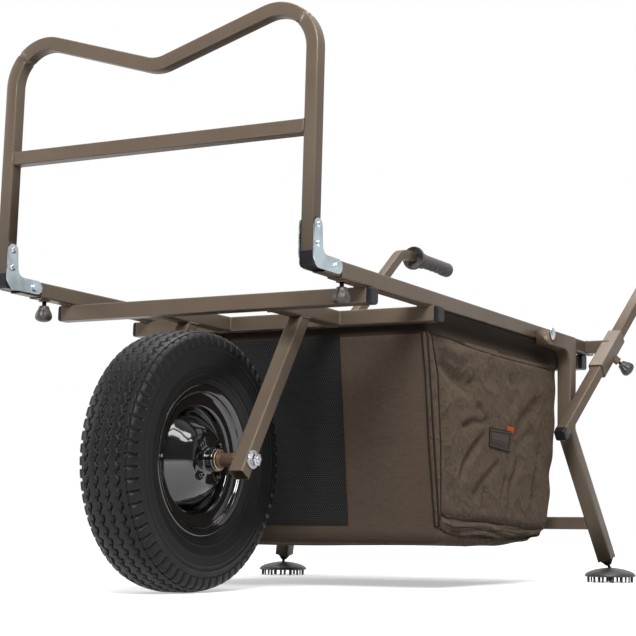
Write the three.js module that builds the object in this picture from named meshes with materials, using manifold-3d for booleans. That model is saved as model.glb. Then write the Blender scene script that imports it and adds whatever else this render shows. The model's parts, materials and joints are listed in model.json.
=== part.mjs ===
// Fishing trolley with one wheel, a folding front rack, a deck of square tube,
// a bag under the deck, folding rear legs and two sliding handles.
// Millimetres, +Z up, +Y to the rear, +X to the side that the photograph shows.
import * as THREE from 'three';
import { mergeVertices } from 'three/addons/utils/BufferGeometryUtils.js';
import Module from 'manifold-3d';

const wasm = await Module();
wasm.setup();

// General
const gap = 0.3;
const overrun = 5;
const tubeWall = 1.5;
const cornerRadius = 2.5;
const weldedBossWall = 3;

// Wheel
const tyreRadius = 200;
const tyreWidth = 100;
const tyreWall = 9;
const treadWidth = 84;
const treadDrop = 6;
const treadFlat = 26;
const grooveWidth = 5;
const grooveDepth = 4;
const grooveZigzag = 1.6;
const groovePlaceShares = [-0.3, -0.1, 0.1, 0.3];
const sidewallShares = [[0.3, 0.93], [0.55, 1], [0.8, 0.97]];
const bowlShares = [[0.42, 0.75], [0.6, 0.5], [0.86, 0.55]];
const rimFlangeHeight = 12;
const rimWidth = 72;
const rimSheet = 3;
const beadSeatRadius = 104;
const wellDepth = 20;
const webThickness = 12;
const hubRadius = 24;
const hubWidth = 78;
const collarRadius = 18;
const collarReach = 62;
const wheelSegments = 36;

// Axle
const axleRadius = 6;
const boltHeadRadius = 11;
const boltHeadThickness = 8;
const washerRadius = 14;
const washerThickness = 2;
const spacerRadius = 10.5;
const runningGap = 0.4;

// Deck
const railTube = 25.6;
const railSpacing = 554.6;
const tyreClearance = 35.2;
const railRear = 1012;
const crossbarTube = 25.6;
const rearCrossbarTube = 30;
const frontCrossbarY = 53.5;
const middleCrossbarY = 264.5;
const rearCrossbarY = 995;
const frontCrossbarOverhang = 18.7;
const middleCrossbarOverhang = 27.7;
const rearCrossbarOverhang = 0.7;
const capLength = 8;
const handleCapLength = 14;
const capChamfer = 2;
const plugDepth = 16;

// Fork
const forkSpacing = 217;
const strutTube = 25.8;
const strutDepth = 24.3;
const strutTopY = 145;
const strutPastAxle = 28;

// Rack
const rackTube = 21.6;
const rackTubeY = -106.3;
const rackFootRise = 2.3;
const rackShoulderRise = 389;
const rackDipRise = 304.8;
const rackShoulderRadius = 65;
const rackDipRadius = 60;
const rackBarRise = 184.2;
const slideTube = 22;
const slideInset = 5;
const slideLength = 410;
const pivotReach = 55.3;
const pivotRise = 2.5;
const pivotPinRadius = 4;
const pivotHeadRadius = 7;
const plateThickness = 2;
const plateRise = 60.6;
const plateFootWidth = 24;
const plateArmWidth = 22;
const plateInnerRadius = 14;
const plateCornerRadius = 9;
const rivetRadius = 5.5;
const rivetHeight = 3;
const rivetRises = [23.3, 51.1];
const postPlugDrop = 10.4;
const postPlugReach = 9.5;
const postPlugChamfer = 4;

// Knobs on the rails
const railKnobInset = 21.2;
const knobBossRadius = 9;
const knobBossHeight = 2.5;
const knobScrewRadius = 3.5;
const knobHeadRadius = 15;
const knobNeckRadius = 7;
const railKnobReach = 18;
const knobNeckShare = 0.72;

// Handles and their sleeves
const handleTube = 23;
const handleOffset = 30;
const handleY = 809;
const handleDrop = 133.1;
const handleSplay = 0.04;
const handleSlope = 0.785;
const handleLowerY = 736;
const handleBendRise = 309.1;
const handleBendRadius = 70;
const gripTubeLength = 105.69;
const sleeveTube = 30.6;
const sleeveFrontReach = 73.55;
const sleeveRearReach = 31.45;
const stubTube = 25.6;
const handleKnobInset = 18.55;
const handleKnobTurn = 0.86;
const handleKnobBossReach = 30;
const handleKnobBossRadius = 8;
const handleKnobBall = 15.5;
const handleKnobReach = 49;
const flangeInset = 38;
const flangeRadius = 30;
const flangeThickness = 6;
const gripCollarRadius = 20;
const gripRadius = 18;
const gripLength = 190;
const fingerCount = 4;
const fingerPitch = 27;
const fingerRadius = 15;
const fingerDepth = 5;

// Legs
const legTube = 29;
const legClearance = 0.4;
const legPivotInset = 18;
const legPivotDrop = 4.9;
const legPivotRadius = 5;
const legPivotHeadRadius = 12;
const legHeadReach = 132;
const legHeadDrop = 11.4;
const legRearY = 826;
const legHeadRadius = 30;
const legBendHeight = 292;
const legBendRadius = 40;
const footSplay = 67.5;
const footSetback = 63;
const legEndHeight = 44;
const legBarTube = 24;
const legBarHeight = 113.5;
const legInnerTube = 23.6;
const legInnerLength = 190;
const footRadius = 50;
const footPinHeight = 12;
const footRimThickness = 3;
const footDomeHeight = 27;
const footPinRadius = 2.2;
const footPinRings = [{ radius: 42, count: 10 }, { radius: 22, count: 5 }];
const ballRadius = 6;
const ballHeight = 24;
const neckRadius = 3;
const plugTipRadius = 6;

// Bag
const bagFrontTop = 268;
const bagFrontBase = 306;
const bagRearTop = 800;
const bagRear = 815;
const bagRearLow = 766;
const bagBase = 67;
const bagFrontBaseHeight = 84;
const bagRearLowHeight = 100;
const bagRearHeight = 157;
const bagShoulderDrop = 45.1;
const bagBaseOverhang = 10.7;
const bagShoulderOverhang = 0.7;
const bagTopInset = 5.3;
const bagEdge = 12;

// Worked out from the sizes above: the deck stands over the wheel, and the other heights follow it
const axle = new THREE.Vector3(0, 0, tyreRadius);
const rimRadius = beadSeatRadius + rimFlangeHeight;
const wellRadius = beadSeatRadius - wellDepth;
const crossbarBase = 2 * tyreRadius + tyreClearance;
const railBase = crossbarBase + crossbarTube + gap;
const railTop = railBase + railTube;
const slideCentre = railBase + railTube / 2;
const railX = railSpacing / 2;
const forkX = forkSpacing / 2;
const strutFace = forkX + strutTube / 2;
const rackFoot = railTop + rackFootRise;
const postPlugRear = rackTubeY + rackTube / 2 + postPlugReach;
const slideFront = postPlugRear + slideInset;
const pivotY = rackTubeY + pivotReach;
const pivotHeight = slideCentre + pivotRise;
const plateOffset = slideTube / 2 + gap + plateThickness / 2;
const railFront = pivotY + plateCornerRadius / 2 + plateArmWidth / 2 + gap;
const railKnobY = railFront + railKnobInset;
const legX = railX + railTube / 2 + legTube / 2 + legClearance;
const legHeadFront = legRearY - legHeadReach;
const legPivotY = legHeadFront + legPivotInset;
const legPivotHeight = slideCentre - legPivotDrop;
const footTop = new THREE.Vector3(legX + footSplay, legRearY + footSetback, ballHeight);
const handleHeight = slideCentre - handleDrop;
const stubY = handleY + handleDrop / handleSlope;
const handleBendY = stubY + handleBendRise / handleSlope;
const handleTubeEnd = handleBendY + gripTubeLength;
const flangeY = handleTubeEnd - flangeInset;

const bronze = { color: 0x6f6352, roughness: 0.42, metalness: 0.45 };
const looks = {
  bronze,
  tyre: { color: 0x1c1c1d, roughness: 0.85, metalness: 0 },
  rim: { color: 0x0c0c0d, roughness: 0.12, metalness: 0.2 },
  steel: { color: 0xb9bdc2, roughness: 0.3, metalness: 0.9 },
  zinc: { color: 0xa9b3ba, roughness: 0.35, metalness: 0.85 },
  plastic: { color: 0x232428, roughness: 0.55, metalness: 0 },
  knob: { color: 0x38342f, roughness: 0.45, metalness: 0 },
  grip: { color: 0x6a6060, roughness: 0.8, metalness: 0 },
  foot: { color: 0x3b393a, roughness: 0.5, metalness: 0 },
  cloth: { color: 0x5a4c40, roughness: 0.95, metalness: 0 },
};

const trolley = new THREE.Group();
const sides = [
  { name: 'near', sign: 1 },
  { name: 'far', sign: -1 },
];

function point(x, y, z) {
  return new THREE.Vector3(x, y, z);
}

function addPiece(name, geometry, look) {
  const material = new THREE.MeshStandardMaterial({ ...looks[look], flatShading: true });
  const mesh = new THREE.Mesh(geometry, material);
  mesh.name = name;
  trolley.add(mesh);
  return mesh;
}

// Solids for cutting and joining

function solidOf(geometry) {
  const bare = geometry.clone();
  bare.deleteAttribute('normal');
  bare.deleteAttribute('uv');
  const merged = mergeVertices(bare);
  return new wasm.Manifold(new wasm.Mesh({
    numProp: 3,
    vertProperties: new Float32Array(merged.attributes.position.array),
    triVerts: new Uint32Array(merged.index.array),
  }));
}

function geometryOf(solid) {
  const mesh = solid.getMesh();
  const geometry = new THREE.BufferGeometry();
  geometry.setAttribute('position', new THREE.BufferAttribute(mesh.vertProperties, 3));
  geometry.setIndex(new THREE.BufferAttribute(mesh.triVerts, 1));
  geometry.computeVertexNormals();
  return geometry;
}

function joined(first, ...others) {
  return others.reduce((sum, other) => sum.add(solidOf(other)), solidOf(first));
}

function cut(body, ...tools) {
  return tools.reduce((rest, tool) => rest.subtract(solidOf(tool)), body);
}

// Basic forms

function box(width, depth, height, centre) {
  return new THREE.BoxGeometry(width, depth, height).translate(centre.x, centre.y, centre.z);
}

// A round bar between two points
function rod(radius, start, end, segments = 12) {
  const along = end.clone().sub(start);
  const turn = new THREE.Quaternion().setFromUnitVectors(point(0, 1, 0), along.clone().normalize());
  const middle = start.clone().add(end).multiplyScalar(1 / 2);
  return new THREE.CylinderGeometry(radius, radius, along.length(), segments)
    .applyQuaternion(turn)
    .translate(middle.x, middle.y, middle.z);
}

// Turns +Z to a direction and keeps one flat side square to the world's X, as the swept tubes do
function squareTurn(direction) {
  const z = direction.clone().normalize();
  const level = Math.abs(z.x) > Math.SQRT1_2 ? point(0, 1, 0) : point(1, 0, 0);
  const x = level.addScaledVector(z, -level.dot(z)).normalize();
  return new THREE.Matrix4().makeBasis(x, z.clone().cross(x), z);
}

// A turned form: the profile's first value is the radius, its second the place along the axis
function turned(profile, segments, base, direction) {
  const points = profile.map(([radius, along]) => new THREE.Vector2(radius, along));
  const turn = new THREE.Quaternion().setFromUnitVectors(point(0, 1, 0), direction.clone().normalize());
  return new THREE.LatheGeometry(points, segments)
    .applyQuaternion(turn)
    .translate(base.x, base.y, base.z);
}

function squareShape(width, depth, corner) {
  const x = width / 2;
  const y = depth / 2;
  const shape = new THREE.Shape();
  shape.moveTo(x, -y + corner);
  shape.lineTo(x, y - corner);
  shape.absarc(x - corner, y - corner, corner, 0, Math.PI / 2);
  shape.lineTo(-x + corner, y);
  shape.absarc(-x + corner, y - corner, corner, Math.PI / 2, Math.PI);
  shape.lineTo(-x, -y + corner);
  shape.absarc(-x + corner, -y + corner, corner, Math.PI, 3 * Math.PI / 2);
  shape.lineTo(x - corner, -y);
  shape.absarc(x - corner, -y + corner, corner, -Math.PI / 2, 0);
  return shape;
}

function tubeShape(width, depth = width) {
  const shape = squareShape(width, depth, cornerRadius);
  const x = width / 2 - tubeWall;
  const y = depth / 2 - tubeWall;
  const bore = new THREE.Path();
  bore.moveTo(-x, -y);
  bore.lineTo(-x, y);
  bore.lineTo(x, y);
  bore.lineTo(x, -y);
  bore.closePath();
  shape.holes.push(bore);
  return shape;
}

// A path of straight runs and round bends, with a station only where the tube's section is needed
class BentPath extends THREE.Curve {
  constructor(stations) {
    super();
    this.stations = stations;
  }

  station(share) {
    return this.stations[Math.round(share * (this.stations.length - 1))];
  }

  getPoint(share, target = new THREE.Vector3()) {
    return target.copy(this.station(share).place);
  }

  getPointAt(share, target) {
    return this.getPoint(share, target);
  }

  getTangentAt(share, target = new THREE.Vector3()) {
    return target.copy(this.station(share).tangent);
  }
}

function bentPath(corners, radii = [], bendSteps = 6) {
  const heading = (from, to) => to.clone().sub(from).normalize();
  const stations = [{ place: corners[0], tangent: heading(corners[0], corners[1]) }];
  for (let i = 1; i < corners.length - 1; i += 1) {
    const before = heading(corners[i - 1], corners[i]);
    const after = heading(corners[i], corners[i + 1]);
    const turn = before.angleTo(after);
    const hinge = before.clone().cross(after).normalize();
    const start = corners[i].clone().addScaledVector(before, -radii[i - 1] * Math.tan(turn / 2));
    const inward = hinge.clone().cross(before);
    const centre = start.clone().addScaledVector(inward, radii[i - 1]);
    for (let step = 0; step <= bendSteps; step += 1) {
      const swing = turn * step / bendSteps;
      stations.push({
        place: start.clone().sub(centre).applyAxisAngle(hinge, swing).add(centre),
        tangent: before.clone().applyAxisAngle(hinge, swing),
      });
    }
  }
  const last = corners.length - 1;
  stations.push({ place: corners[last], tangent: heading(corners[last - 1], corners[last]) });
  return new BentPath(stations);
}

function swept(shape, path) {
  return new THREE.ExtrudeGeometry(shape, {
    steps: path.stations.length - 1,
    extrudePath: path,
    curveSegments: 1,
    bevelEnabled: false,
  });
}

function straightTube(size, start, end) {
  return swept(tubeShape(size), bentPath([start, end]));
}

function solidBar(width, depth, start, end) {
  return swept(squareShape(width, depth, cornerRadius), bentPath([start, end]));
}

// A plug for the end of a tube: a head as wide as the tube and a stem inside it
function tubePlug(tube, headLength, face, outward) {
  const stem = tube - 2 * tubeWall - 2 * gap;
  const inset = tube - 2 * capChamfer;
  const full = headLength - gap;
  const head = new THREE.ExtrudeGeometry(squareShape(inset, inset, cornerRadius), {
    depth: full - 2 * capChamfer,
    bevelThickness: capChamfer,
    bevelSize: capChamfer,
    bevelSegments: 1,
    curveSegments: 1,
  }).translate(0, 0, gap + capChamfer);
  const lower = new THREE.ExtrudeGeometry(squareShape(tube, tube, cornerRadius), {
    depth: full / 2,
    bevelEnabled: false,
    curveSegments: 1,
  }).translate(0, 0, gap);
  const inner = box(stem, stem, plugDepth + capChamfer,
    point(0, 0, (capChamfer - plugDepth) / 2 + gap));
  return geometryOf(joined(head, lower, inner))
    .applyMatrix4(squareTurn(outward))
    .translate(face.x, face.y, face.z);
}

// Wheel

function tyreProfile() {
  const half = tyreWidth / 2;
  const treadHalf = treadWidth / 2;
  const bead = beadSeatRadius + gap;
  const beadHalf = rimWidth / 2 - rimSheet - gap;
  const lip = rimRadius + gap;
  const crown = (along) => {
    const past = Math.max(0, Math.abs(along) - treadFlat / 2) / (treadHalf - treadFlat / 2);
    return tyreRadius - treadDrop * past ** 2;
  };
  const outer = [[bead, -beadHalf], [lip, -beadHalf], [lip, -rimWidth / 2 - gap]];
  const sideRise = crown(treadHalf) - lip;
  for (const [riseShare, widthShare] of sidewallShares) {
    outer.push([lip + sideRise * riseShare, -half * widthShare]);
  }
  outer.push([crown(treadHalf), -treadHalf]);
  for (const placeShare of groovePlaceShares) {
    const middle = placeShare * treadWidth;
    const left = middle - grooveWidth / 2;
    const right = middle + grooveWidth / 2;
    outer.push([crown(left), left], [crown(left) - grooveDepth, left]);
    outer.push([crown(right) - grooveDepth, right], [crown(right), right]);
  }
  outer.push([crown(treadHalf), treadHalf]);
  for (const [riseShare, widthShare] of sidewallShares.slice().reverse()) {
    outer.push([lip + sideRise * riseShare, half * widthShare]);
  }
  outer.push([lip, rimWidth / 2 + gap], [lip, beadHalf], [bead, beadHalf]);
  const inner = [
    [bead, beadHalf - tyreWall],
    [lip + sideRise / 2, half - tyreWall],
    [crown(treadHalf) - tyreWall, treadHalf - tyreWall],
    [crown(treadHalf) - tyreWall, -treadHalf + tyreWall],
    [lip + sideRise / 2, -half + tyreWall],
    [bead, -beadHalf + tyreWall],
  ];
  return [...outer, ...inner, outer[0]];
}

// The grooves swing from side to side from one step round the tyre to the next
function zigzag(geometry, profile) {
  const places = geometry.attributes.position;
  const deepest = tyreRadius - treadDrop - grooveDepth - gap;
  const inGroove = profile.map(([radius, along]) => {
    const atGroove = groovePlaceShares
      .some((share) => Math.abs(share * treadWidth - along) < grooveWidth);
    return radius > deepest && atGroove;
  });
  for (let i = 0; i < places.count; i += 1) {
    const row = i % profile.length;
    const step = Math.floor(i / profile.length) % wheelSegments;
    if (inGroove[row]) {
      places.setY(i, places.getY(i) + (step % 2 === 0 ? grooveZigzag : -grooveZigzag));
    }
  }
  return geometry;
}

function tyre() {
  const profile = tyreProfile();
  const points = profile.map(([radius, along]) => new THREE.Vector2(radius, along));
  return zigzag(new THREE.LatheGeometry(points, wheelSegments), profile)
    .rotateZ(-Math.PI / 2)
    .translate(axle.x, axle.y, axle.z);
}

function rim() {
  const edge = rimWidth / 2;
  const bore = axleRadius + runningGap;
  const dish = wellRadius - rimSheet;
  const nearSide = [
    [bore, collarReach],
    [collarRadius - rimSheet, collarReach],
    [collarRadius, collarReach - rimSheet],
    [collarRadius, hubWidth / 2],
    [hubRadius, hubWidth / 2],
    ...bowlShares.map(([radiusShare, depthShare]) => [dish * radiusShare, webThickness * depthShare]),
    [dish, edge / 2],
    [beadSeatRadius - rimSheet, edge * 2 / 3],
    [beadSeatRadius, edge - rimSheet / 2],
    [rimRadius - rimSheet / 2, edge],
    [rimRadius, edge - rimSheet / 2],
    [rimRadius - rimSheet / 2, edge - rimSheet],
    [beadSeatRadius, edge - rimSheet],
    [beadSeatRadius, edge / 2 + rimSheet],
    [wellRadius, edge / 2 - rimSheet],
  ];
  const farSide = nearSide.slice().reverse().map(([radius, along]) => [radius, -along]);
  const profile = [...nearSide, ...farSide, nearSide[0]].reverse();
  return turned(profile, wheelSegments, axle, point(1, 0, 0));
}

addPiece('tyre', tyre(), 'tyre');
addPiece('wheel_rim', rim(), 'rim');

// Axle: a bolt through both struts with a nut at the far end, and a spacer each side of the hub
function axleBolt() {
  const reach = strutFace + gap;
  const headEnd = reach + washerThickness + boltHeadThickness;
  const tip = [
    [0, -headEnd - washerThickness], [axleRadius, -headEnd - washerThickness], [axleRadius, -headEnd],
    [boltHeadRadius, -headEnd], [boltHeadRadius, -reach - washerThickness],
    [washerRadius, -reach - washerThickness], [washerRadius, -reach], [axleRadius, -reach],
  ];
  const head = [
    [axleRadius, reach], [washerRadius, reach], [washerRadius, reach + washerThickness],
    [boltHeadRadius, reach + washerThickness], [boltHeadRadius, headEnd], [0, headEnd],
  ];
  return turned([...tip, ...head], 12, axle, point(1, 0, 0));
}

function spacer(sign) {
  const start = collarReach + gap;
  const end = forkX - strutTube / 2 - gap;
  const bore = axleRadius + runningGap;
  const profile = [
    [bore, start], [spacerRadius, start], [spacerRadius, end], [bore, end], [bore, start],
  ];
  return turned(profile, 16, axle, point(sign, 0, 0));
}

addPiece('axle_bolt', axleBolt(), 'steel');

// Struts run from the axle up to the fork tubes and are cut level under them
const strutTop = point(0, strutTopY, crossbarBase);
const strutDirection = strutTop.clone().sub(axle).normalize();

function strut(x) {
  const start = axle.clone().addScaledVector(strutDirection, -strutPastAxle).setX(x);
  const end = strutTop.clone().addScaledVector(strutDirection, strutTube).setX(x);
  const tube = swept(tubeShape(strutTube, strutDepth), bentPath([start, end]));
  const above = box(2 * strutTube, 4 * strutTube, 2 * strutTube,
    point(x, strutTopY, crossbarBase - gap + strutTube));
  const hole = rod(axleRadius + runningGap,
    point(x - strutTube, 0, axle.z), point(x + strutTube, 0, axle.z));
  return geometryOf(cut(solidOf(tube), above, hole));
}

function forkTube(x) {
  const level = crossbarBase + crossbarTube / 2;
  const start = frontCrossbarY + crossbarTube / 2 + gap;
  const end = middleCrossbarY - crossbarTube / 2 - gap;
  return straightTube(crossbarTube, point(x, start, level), point(x, end, level));
}

// Rails, with a threaded boss for the lock knob under the front end and a hole for the leg's pivot
function rail(sign) {
  const x = sign * railX;
  const tube = straightTube(railTube,
    point(x, railFront, slideCentre), point(x, railRear, slideCentre));
  const boss = rod(knobBossRadius, point(x, railKnobY, railBase + tubeWall / 2),
    point(x, railKnobY, railBase - knobBossHeight));
  const thread = rod(knobScrewRadius + gap, point(x, railKnobY, slideCentre),
    point(x, railKnobY, railBase - knobBossHeight - overrun));
  const pivot = rod(legPivotRadius + gap,
    point(x - railTube, legPivotY, legPivotHeight), point(x + railTube, legPivotY, legPivotHeight));
  return geometryOf(cut(joined(tube, boss), thread, pivot));
}

function addCrossbar(name, tube, y, overhang) {
  const level = railBase - gap - tube / 2;
  const reach = railX + overhang - capLength;
  addPiece(name, straightTube(tube, point(-reach, y, level), point(reach, y, level)), 'bronze');
  for (const { name: sideName, sign } of sides) {
    const cap = tubePlug(tube, capLength, point(sign * reach, y, level), point(sign, 0, 0));
    addPiece(`${name}_cap_${sideName}`, cap, 'plastic');
  }
}

addCrossbar('crossbar_front', crossbarTube, frontCrossbarY, frontCrossbarOverhang);
addCrossbar('crossbar_middle', crossbarTube, middleCrossbarY, middleCrossbarOverhang);
addCrossbar('crossbar_rear', rearCrossbarTube, rearCrossbarY, rearCrossbarOverhang);

// A knob with a screw: the profile starts at the screw's tip
function knob(ballRadiusHere, reach, tip, base, direction) {
  const widest = Math.PI * knobNeckShare;
  const profile = [
    [0, -tip], [knobScrewRadius, -tip], [knobScrewRadius, reach / 3],
    [knobNeckRadius, reach / 3], [knobNeckRadius, reach + ballRadiusHere * Math.cos(widest)],
  ];
  const steps = 6;
  for (let step = 0; step <= steps; step += 1) {
    const angle = widest * (1 - step / steps);
    profile.push([ballRadiusHere * Math.sin(angle), reach + ballRadiusHere * Math.cos(angle)]);
  }
  profile[profile.length - 1][0] = 0;
  return turned(profile, 12, base, direction);
}

// Handle line
const handleLine = point(handleSplay, 1, handleSlope);
const handleDirection = handleLine.clone().normalize();

function onHandle(y) {
  return point(legX + handleOffset, handleY, handleHeight).addScaledVector(handleLine, y - handleY);
}

function mirrored(place, sign) {
  return point(place.x * sign, place.y, place.z);
}

function handleTubeGeometry(sign) {
  const bend = onHandle(handleBendY);
  const corners = [onHandle(handleLowerY), bend, point(bend.x, handleTubeEnd, bend.z)];
  const path = bentPath(corners.map((corner) => mirrored(corner, sign)), [handleBendRadius]);
  return swept(tubeShape(handleTube), path);
}

function handleGrip(sign) {
  const centre = onHandle(handleBendY);
  const base = point(centre.x * sign, flangeY, centre.z);
  const bore = handleTube / Math.SQRT2 + gap;
  const inside = handleTubeEnd + gap - flangeY;
  const end = handleTubeEnd - flangeY + gripLength - fingerPitch;
  const collarEnd = handleTubeEnd + fingerRadius - flangeY;
  const profile = [
    [0, inside], [bore, inside], [bore, 0], [flangeRadius, 0], [flangeRadius, flangeThickness],
    [gripCollarRadius, flangeThickness * 2], [gripCollarRadius, collarEnd], [gripRadius, collarEnd],
    [gripRadius, end - fingerDepth], [gripRadius - fingerDepth, end], [0, end],
  ];
  const body = solidOf(turned(profile, 18, base, point(0, 1, 0)));
  const grooves = [];
  for (let finger = 0; finger < fingerCount; finger += 1) {
    const y = flangeY + collarEnd + fingerPitch * (finger + 3 / 4);
    const z = centre.z - gripRadius - fingerRadius + fingerDepth;
    grooves.push(rod(fingerRadius, point(base.x - 2 * gripRadius, y, z),
      point(base.x + 2 * gripRadius, y, z)));
  }
  return geometryOf(cut(body, ...grooves));
}

// The sleeve holds the handle, with a stub from the rail and a boss for the lock knob
const knobAcross = point(0, handleSlope, -1).normalize();

function handleKnobDirection(sign) {
  return point(sign * Math.cos(handleKnobTurn), 0, 0)
    .addScaledVector(knobAcross, Math.sin(handleKnobTurn));
}

function handleSleeve(sign) {
  const start = mirrored(onHandle(stubY - sleeveFrontReach), sign);
  const end = mirrored(onHandle(stubY + sleeveRearReach), sign);
  const outer = solidBar(sleeveTube, sleeveTube, start, end);
  const hole = handleTube + 2 * gap;
  const along = end.clone().sub(start).normalize().multiplyScalar(overrun);
  const bore = swept(squareShape(hole, hole, cornerRadius),
    bentPath([start.clone().sub(along), end.clone().add(along)]));
  const stub = solidBar(stubTube, stubTube,
    point(sign * (railX + railTube / 2 + gap), stubY, slideCentre), mirrored(onHandle(stubY), sign));
  const root = mirrored(onHandle(stubY - handleKnobInset), sign);
  const out = handleKnobDirection(sign);
  const boss = rod(handleKnobBossRadius, root, root.clone().addScaledVector(out, handleKnobBossReach));
  const thread = rod(knobScrewRadius + gap, root,
    root.clone().addScaledVector(out, handleKnobBossReach + overrun));
  return geometryOf(cut(joined(outer, stub, boss), bore, thread));
}

// Rack: brackets hold each post and turn on a pin through the slide tube
function plateShape() {
  const front = rackTubeY - rackTube / 2 - pivotY;
  const shape = new THREE.Shape();
  const base = -plateArmWidth / 2;
  shape.moveTo(plateCornerRadius, base);
  shape.absarc(plateCornerRadius / 2, 0, plateArmWidth / 2, -Math.PI / 2, Math.PI / 2);
  shape.lineTo(front + plateFootWidth + plateInnerRadius, -base);
  shape.absarc(front + plateFootWidth + plateInnerRadius, -base + plateInnerRadius, plateInnerRadius,
    -Math.PI / 2, -Math.PI, true);
  const roundHeight = plateRise - plateCornerRadius;
  shape.lineTo(front + rackTube, roundHeight);
  shape.absarc(front + rackTube - plateCornerRadius, roundHeight, plateCornerRadius, 0, Math.PI / 2);
  shape.lineTo(front + plateCornerRadius, plateRise);
  shape.absarc(front + plateCornerRadius, roundHeight, plateCornerRadius, Math.PI / 2, Math.PI);
  shape.lineTo(front, base + plateCornerRadius * 2);
  shape.absarc(front + plateCornerRadius * 2, base + plateCornerRadius * 2, plateCornerRadius * 2,
    Math.PI, 3 * Math.PI / 2);
  return shape;
}

// The plate's outline lies in Y and Z, and its thickness along X
function plate(x) {
  const settings = { depth: plateThickness, bevelEnabled: false, curveSegments: 3 };
  return new THREE.ExtrudeGeometry(plateShape(), settings)
    .rotateX(Math.PI / 2)
    .rotateZ(Math.PI / 2)
    .translate(x - plateThickness / 2, pivotY, pivotHeight);
}

function outerPlate(sign) {
  const x = sign * (railX + plateOffset);
  const outFace = x + sign * plateThickness / 2;
  const inFace = sign * (railX - plateOffset - plateThickness / 2 - gap);
  const rivets = rivetRises.map((rise) => turned(
    [[0, -plateThickness / 2], [rivetRadius, -plateThickness / 2], [rivetRadius, rivetHeight / 3],
      [rivetRadius * 2 / 3, rivetHeight], [0, rivetHeight]],
    10, point(outFace, rackTubeY, pivotHeight + rise), point(sign, 0, 0)));
  const pin = rod(pivotPinRadius,
    point(outFace, pivotY, pivotHeight), point(inFace, pivotY, pivotHeight));
  const headOut = rod(pivotHeadRadius, point(x, pivotY, pivotHeight),
    point(outFace + sign * rivetHeight, pivotY, pivotHeight), 16);
  const headIn = rod(pivotHeadRadius, point(inFace, pivotY, pivotHeight),
    point(inFace - sign * rivetHeight, pivotY, pivotHeight), 16);
  return geometryOf(joined(plate(x), ...rivets, pin, headOut, headIn));
}

function innerPlate(sign) {
  const x = sign * (railX - plateOffset);
  const hole = rod(pivotPinRadius + gap, point(x - overrun, pivotY, pivotHeight),
    point(x + overrun, pivotY, pivotHeight), 16);
  return geometryOf(cut(solidOf(plate(x)), hole));
}

function slide(sign) {
  const x = sign * railX;
  const tube = straightTube(slideTube, point(x, slideFront, slideCentre),
    point(x, slideFront + slideLength, slideCentre));
  const hole = rod(pivotPinRadius + gap, point(x - slideTube, pivotY, pivotHeight),
    point(x + slideTube, pivotY, pivotHeight), 16);
  return geometryOf(cut(solidOf(tube), hole));
}

function rackHoop() {
  const at = (x, rise) => point(x, rackTubeY, rackFoot + rise);
  const corners = [
    at(-railX, 0), at(-railX, rackShoulderRise), at(0, rackDipRise),
    at(railX, rackShoulderRise), at(railX, 0),
  ];
  const radii = [rackShoulderRadius, rackDipRadius, rackShoulderRadius];
  return swept(tubeShape(rackTube), bentPath(corners, radii));
}

function rackBar() {
  const reach = railX - rackTube / 2 - gap;
  const level = rackFoot + rackBarRise;
  return straightTube(rackTube, point(-reach, rackTubeY, level), point(reach, rackTubeY, level));
}

// The plug closes the post and fills the bracket's corner down to its lower edge
function postPlug(sign) {
  const x = sign * railX;
  const front = rackTubeY - rackTube / 2;
  const base = pivotHeight - postPlugDrop;
  const height = rackFoot - gap - base;
  const shape = new THREE.Shape();
  shape.moveTo(front + postPlugChamfer, 0);
  shape.lineTo(postPlugRear, 0);
  shape.lineTo(postPlugRear, height / 2);
  shape.lineTo(front + rackTube, height);
  shape.lineTo(front, height);
  shape.lineTo(front, postPlugChamfer);
  const block = new THREE.ExtrudeGeometry(shape, { depth: rackTube, bevelEnabled: false })
    .rotateX(Math.PI / 2)
    .rotateZ(Math.PI / 2)
    .translate(x - rackTube / 2, 0, base);
  const stemSize = rackTube - 2 * tubeWall - 2 * gap;
  const stem = box(stemSize, stemSize, plugDepth + overrun,
    point(x, rackTubeY, rackFoot + (plugDepth - overrun) / 2));
  return geometryOf(joined(block, stem));
}

// Legs: a cranked head outside the rail, an upright run and a lower run that splays out
const legBend = point(legX, legRearY, legBendHeight);
const legLine = footTop.clone().sub(legBend).normalize();

function onLeg(height) {
  return legBend.clone().addScaledVector(legLine, (height - legBendHeight) / legLine.z);
}

function legPath(sign) {
  const level = slideCentre - legHeadDrop;
  const corners = [
    point(legX, legHeadFront, level), point(legX, legRearY, level), legBend, onLeg(legEndHeight),
  ];
  return bentPath(corners.map((corner) => mirrored(corner, sign)), [legHeadRadius, legBendRadius], 5);
}

function leg(sign) {
  const tube = solidOf(swept(tubeShape(legTube), legPath(sign)));
  const x = sign * legX;
  const pivot = rod(legPivotRadius + gap, point(x - legTube, legPivotY, legPivotHeight),
    point(x + legTube, legPivotY, legPivotHeight));
  return geometryOf(cut(tube, pivot));
}

function legPivotBolt(sign) {
  const inFace = railX - railTube / 2 - gap;
  const outFace = legX + legTube / 2 + gap;
  const profile = [
    [0, inFace - boltHeadThickness], [boltHeadRadius * 2 / 3, inFace - boltHeadThickness],
    [boltHeadRadius * 2 / 3, inFace], [legPivotRadius, inFace], [legPivotRadius, outFace],
    [legPivotHeadRadius, outFace], [legPivotHeadRadius, outFace + washerThickness],
    [legPivotRadius * 3 / 2, outFace + boltHeadThickness / 2], [0, outFace + boltHeadThickness / 2],
  ];
  return turned(profile, 12, point(0, legPivotY, legPivotHeight), point(sign, 0, 0));
}

function legBar() {
  const middle = onLeg(legBarHeight);
  const bar = solidOf(straightTube(legBarTube, point(-middle.x, middle.y, legBarHeight),
    point(middle.x, middle.y, legBarHeight)));
  const room = legTube + 2 * gap;
  const clears = sides.map(({ sign }) => swept(squareShape(room, room, cornerRadius), legPath(sign)));
  return geometryOf(cut(bar, ...clears));
}

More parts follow.
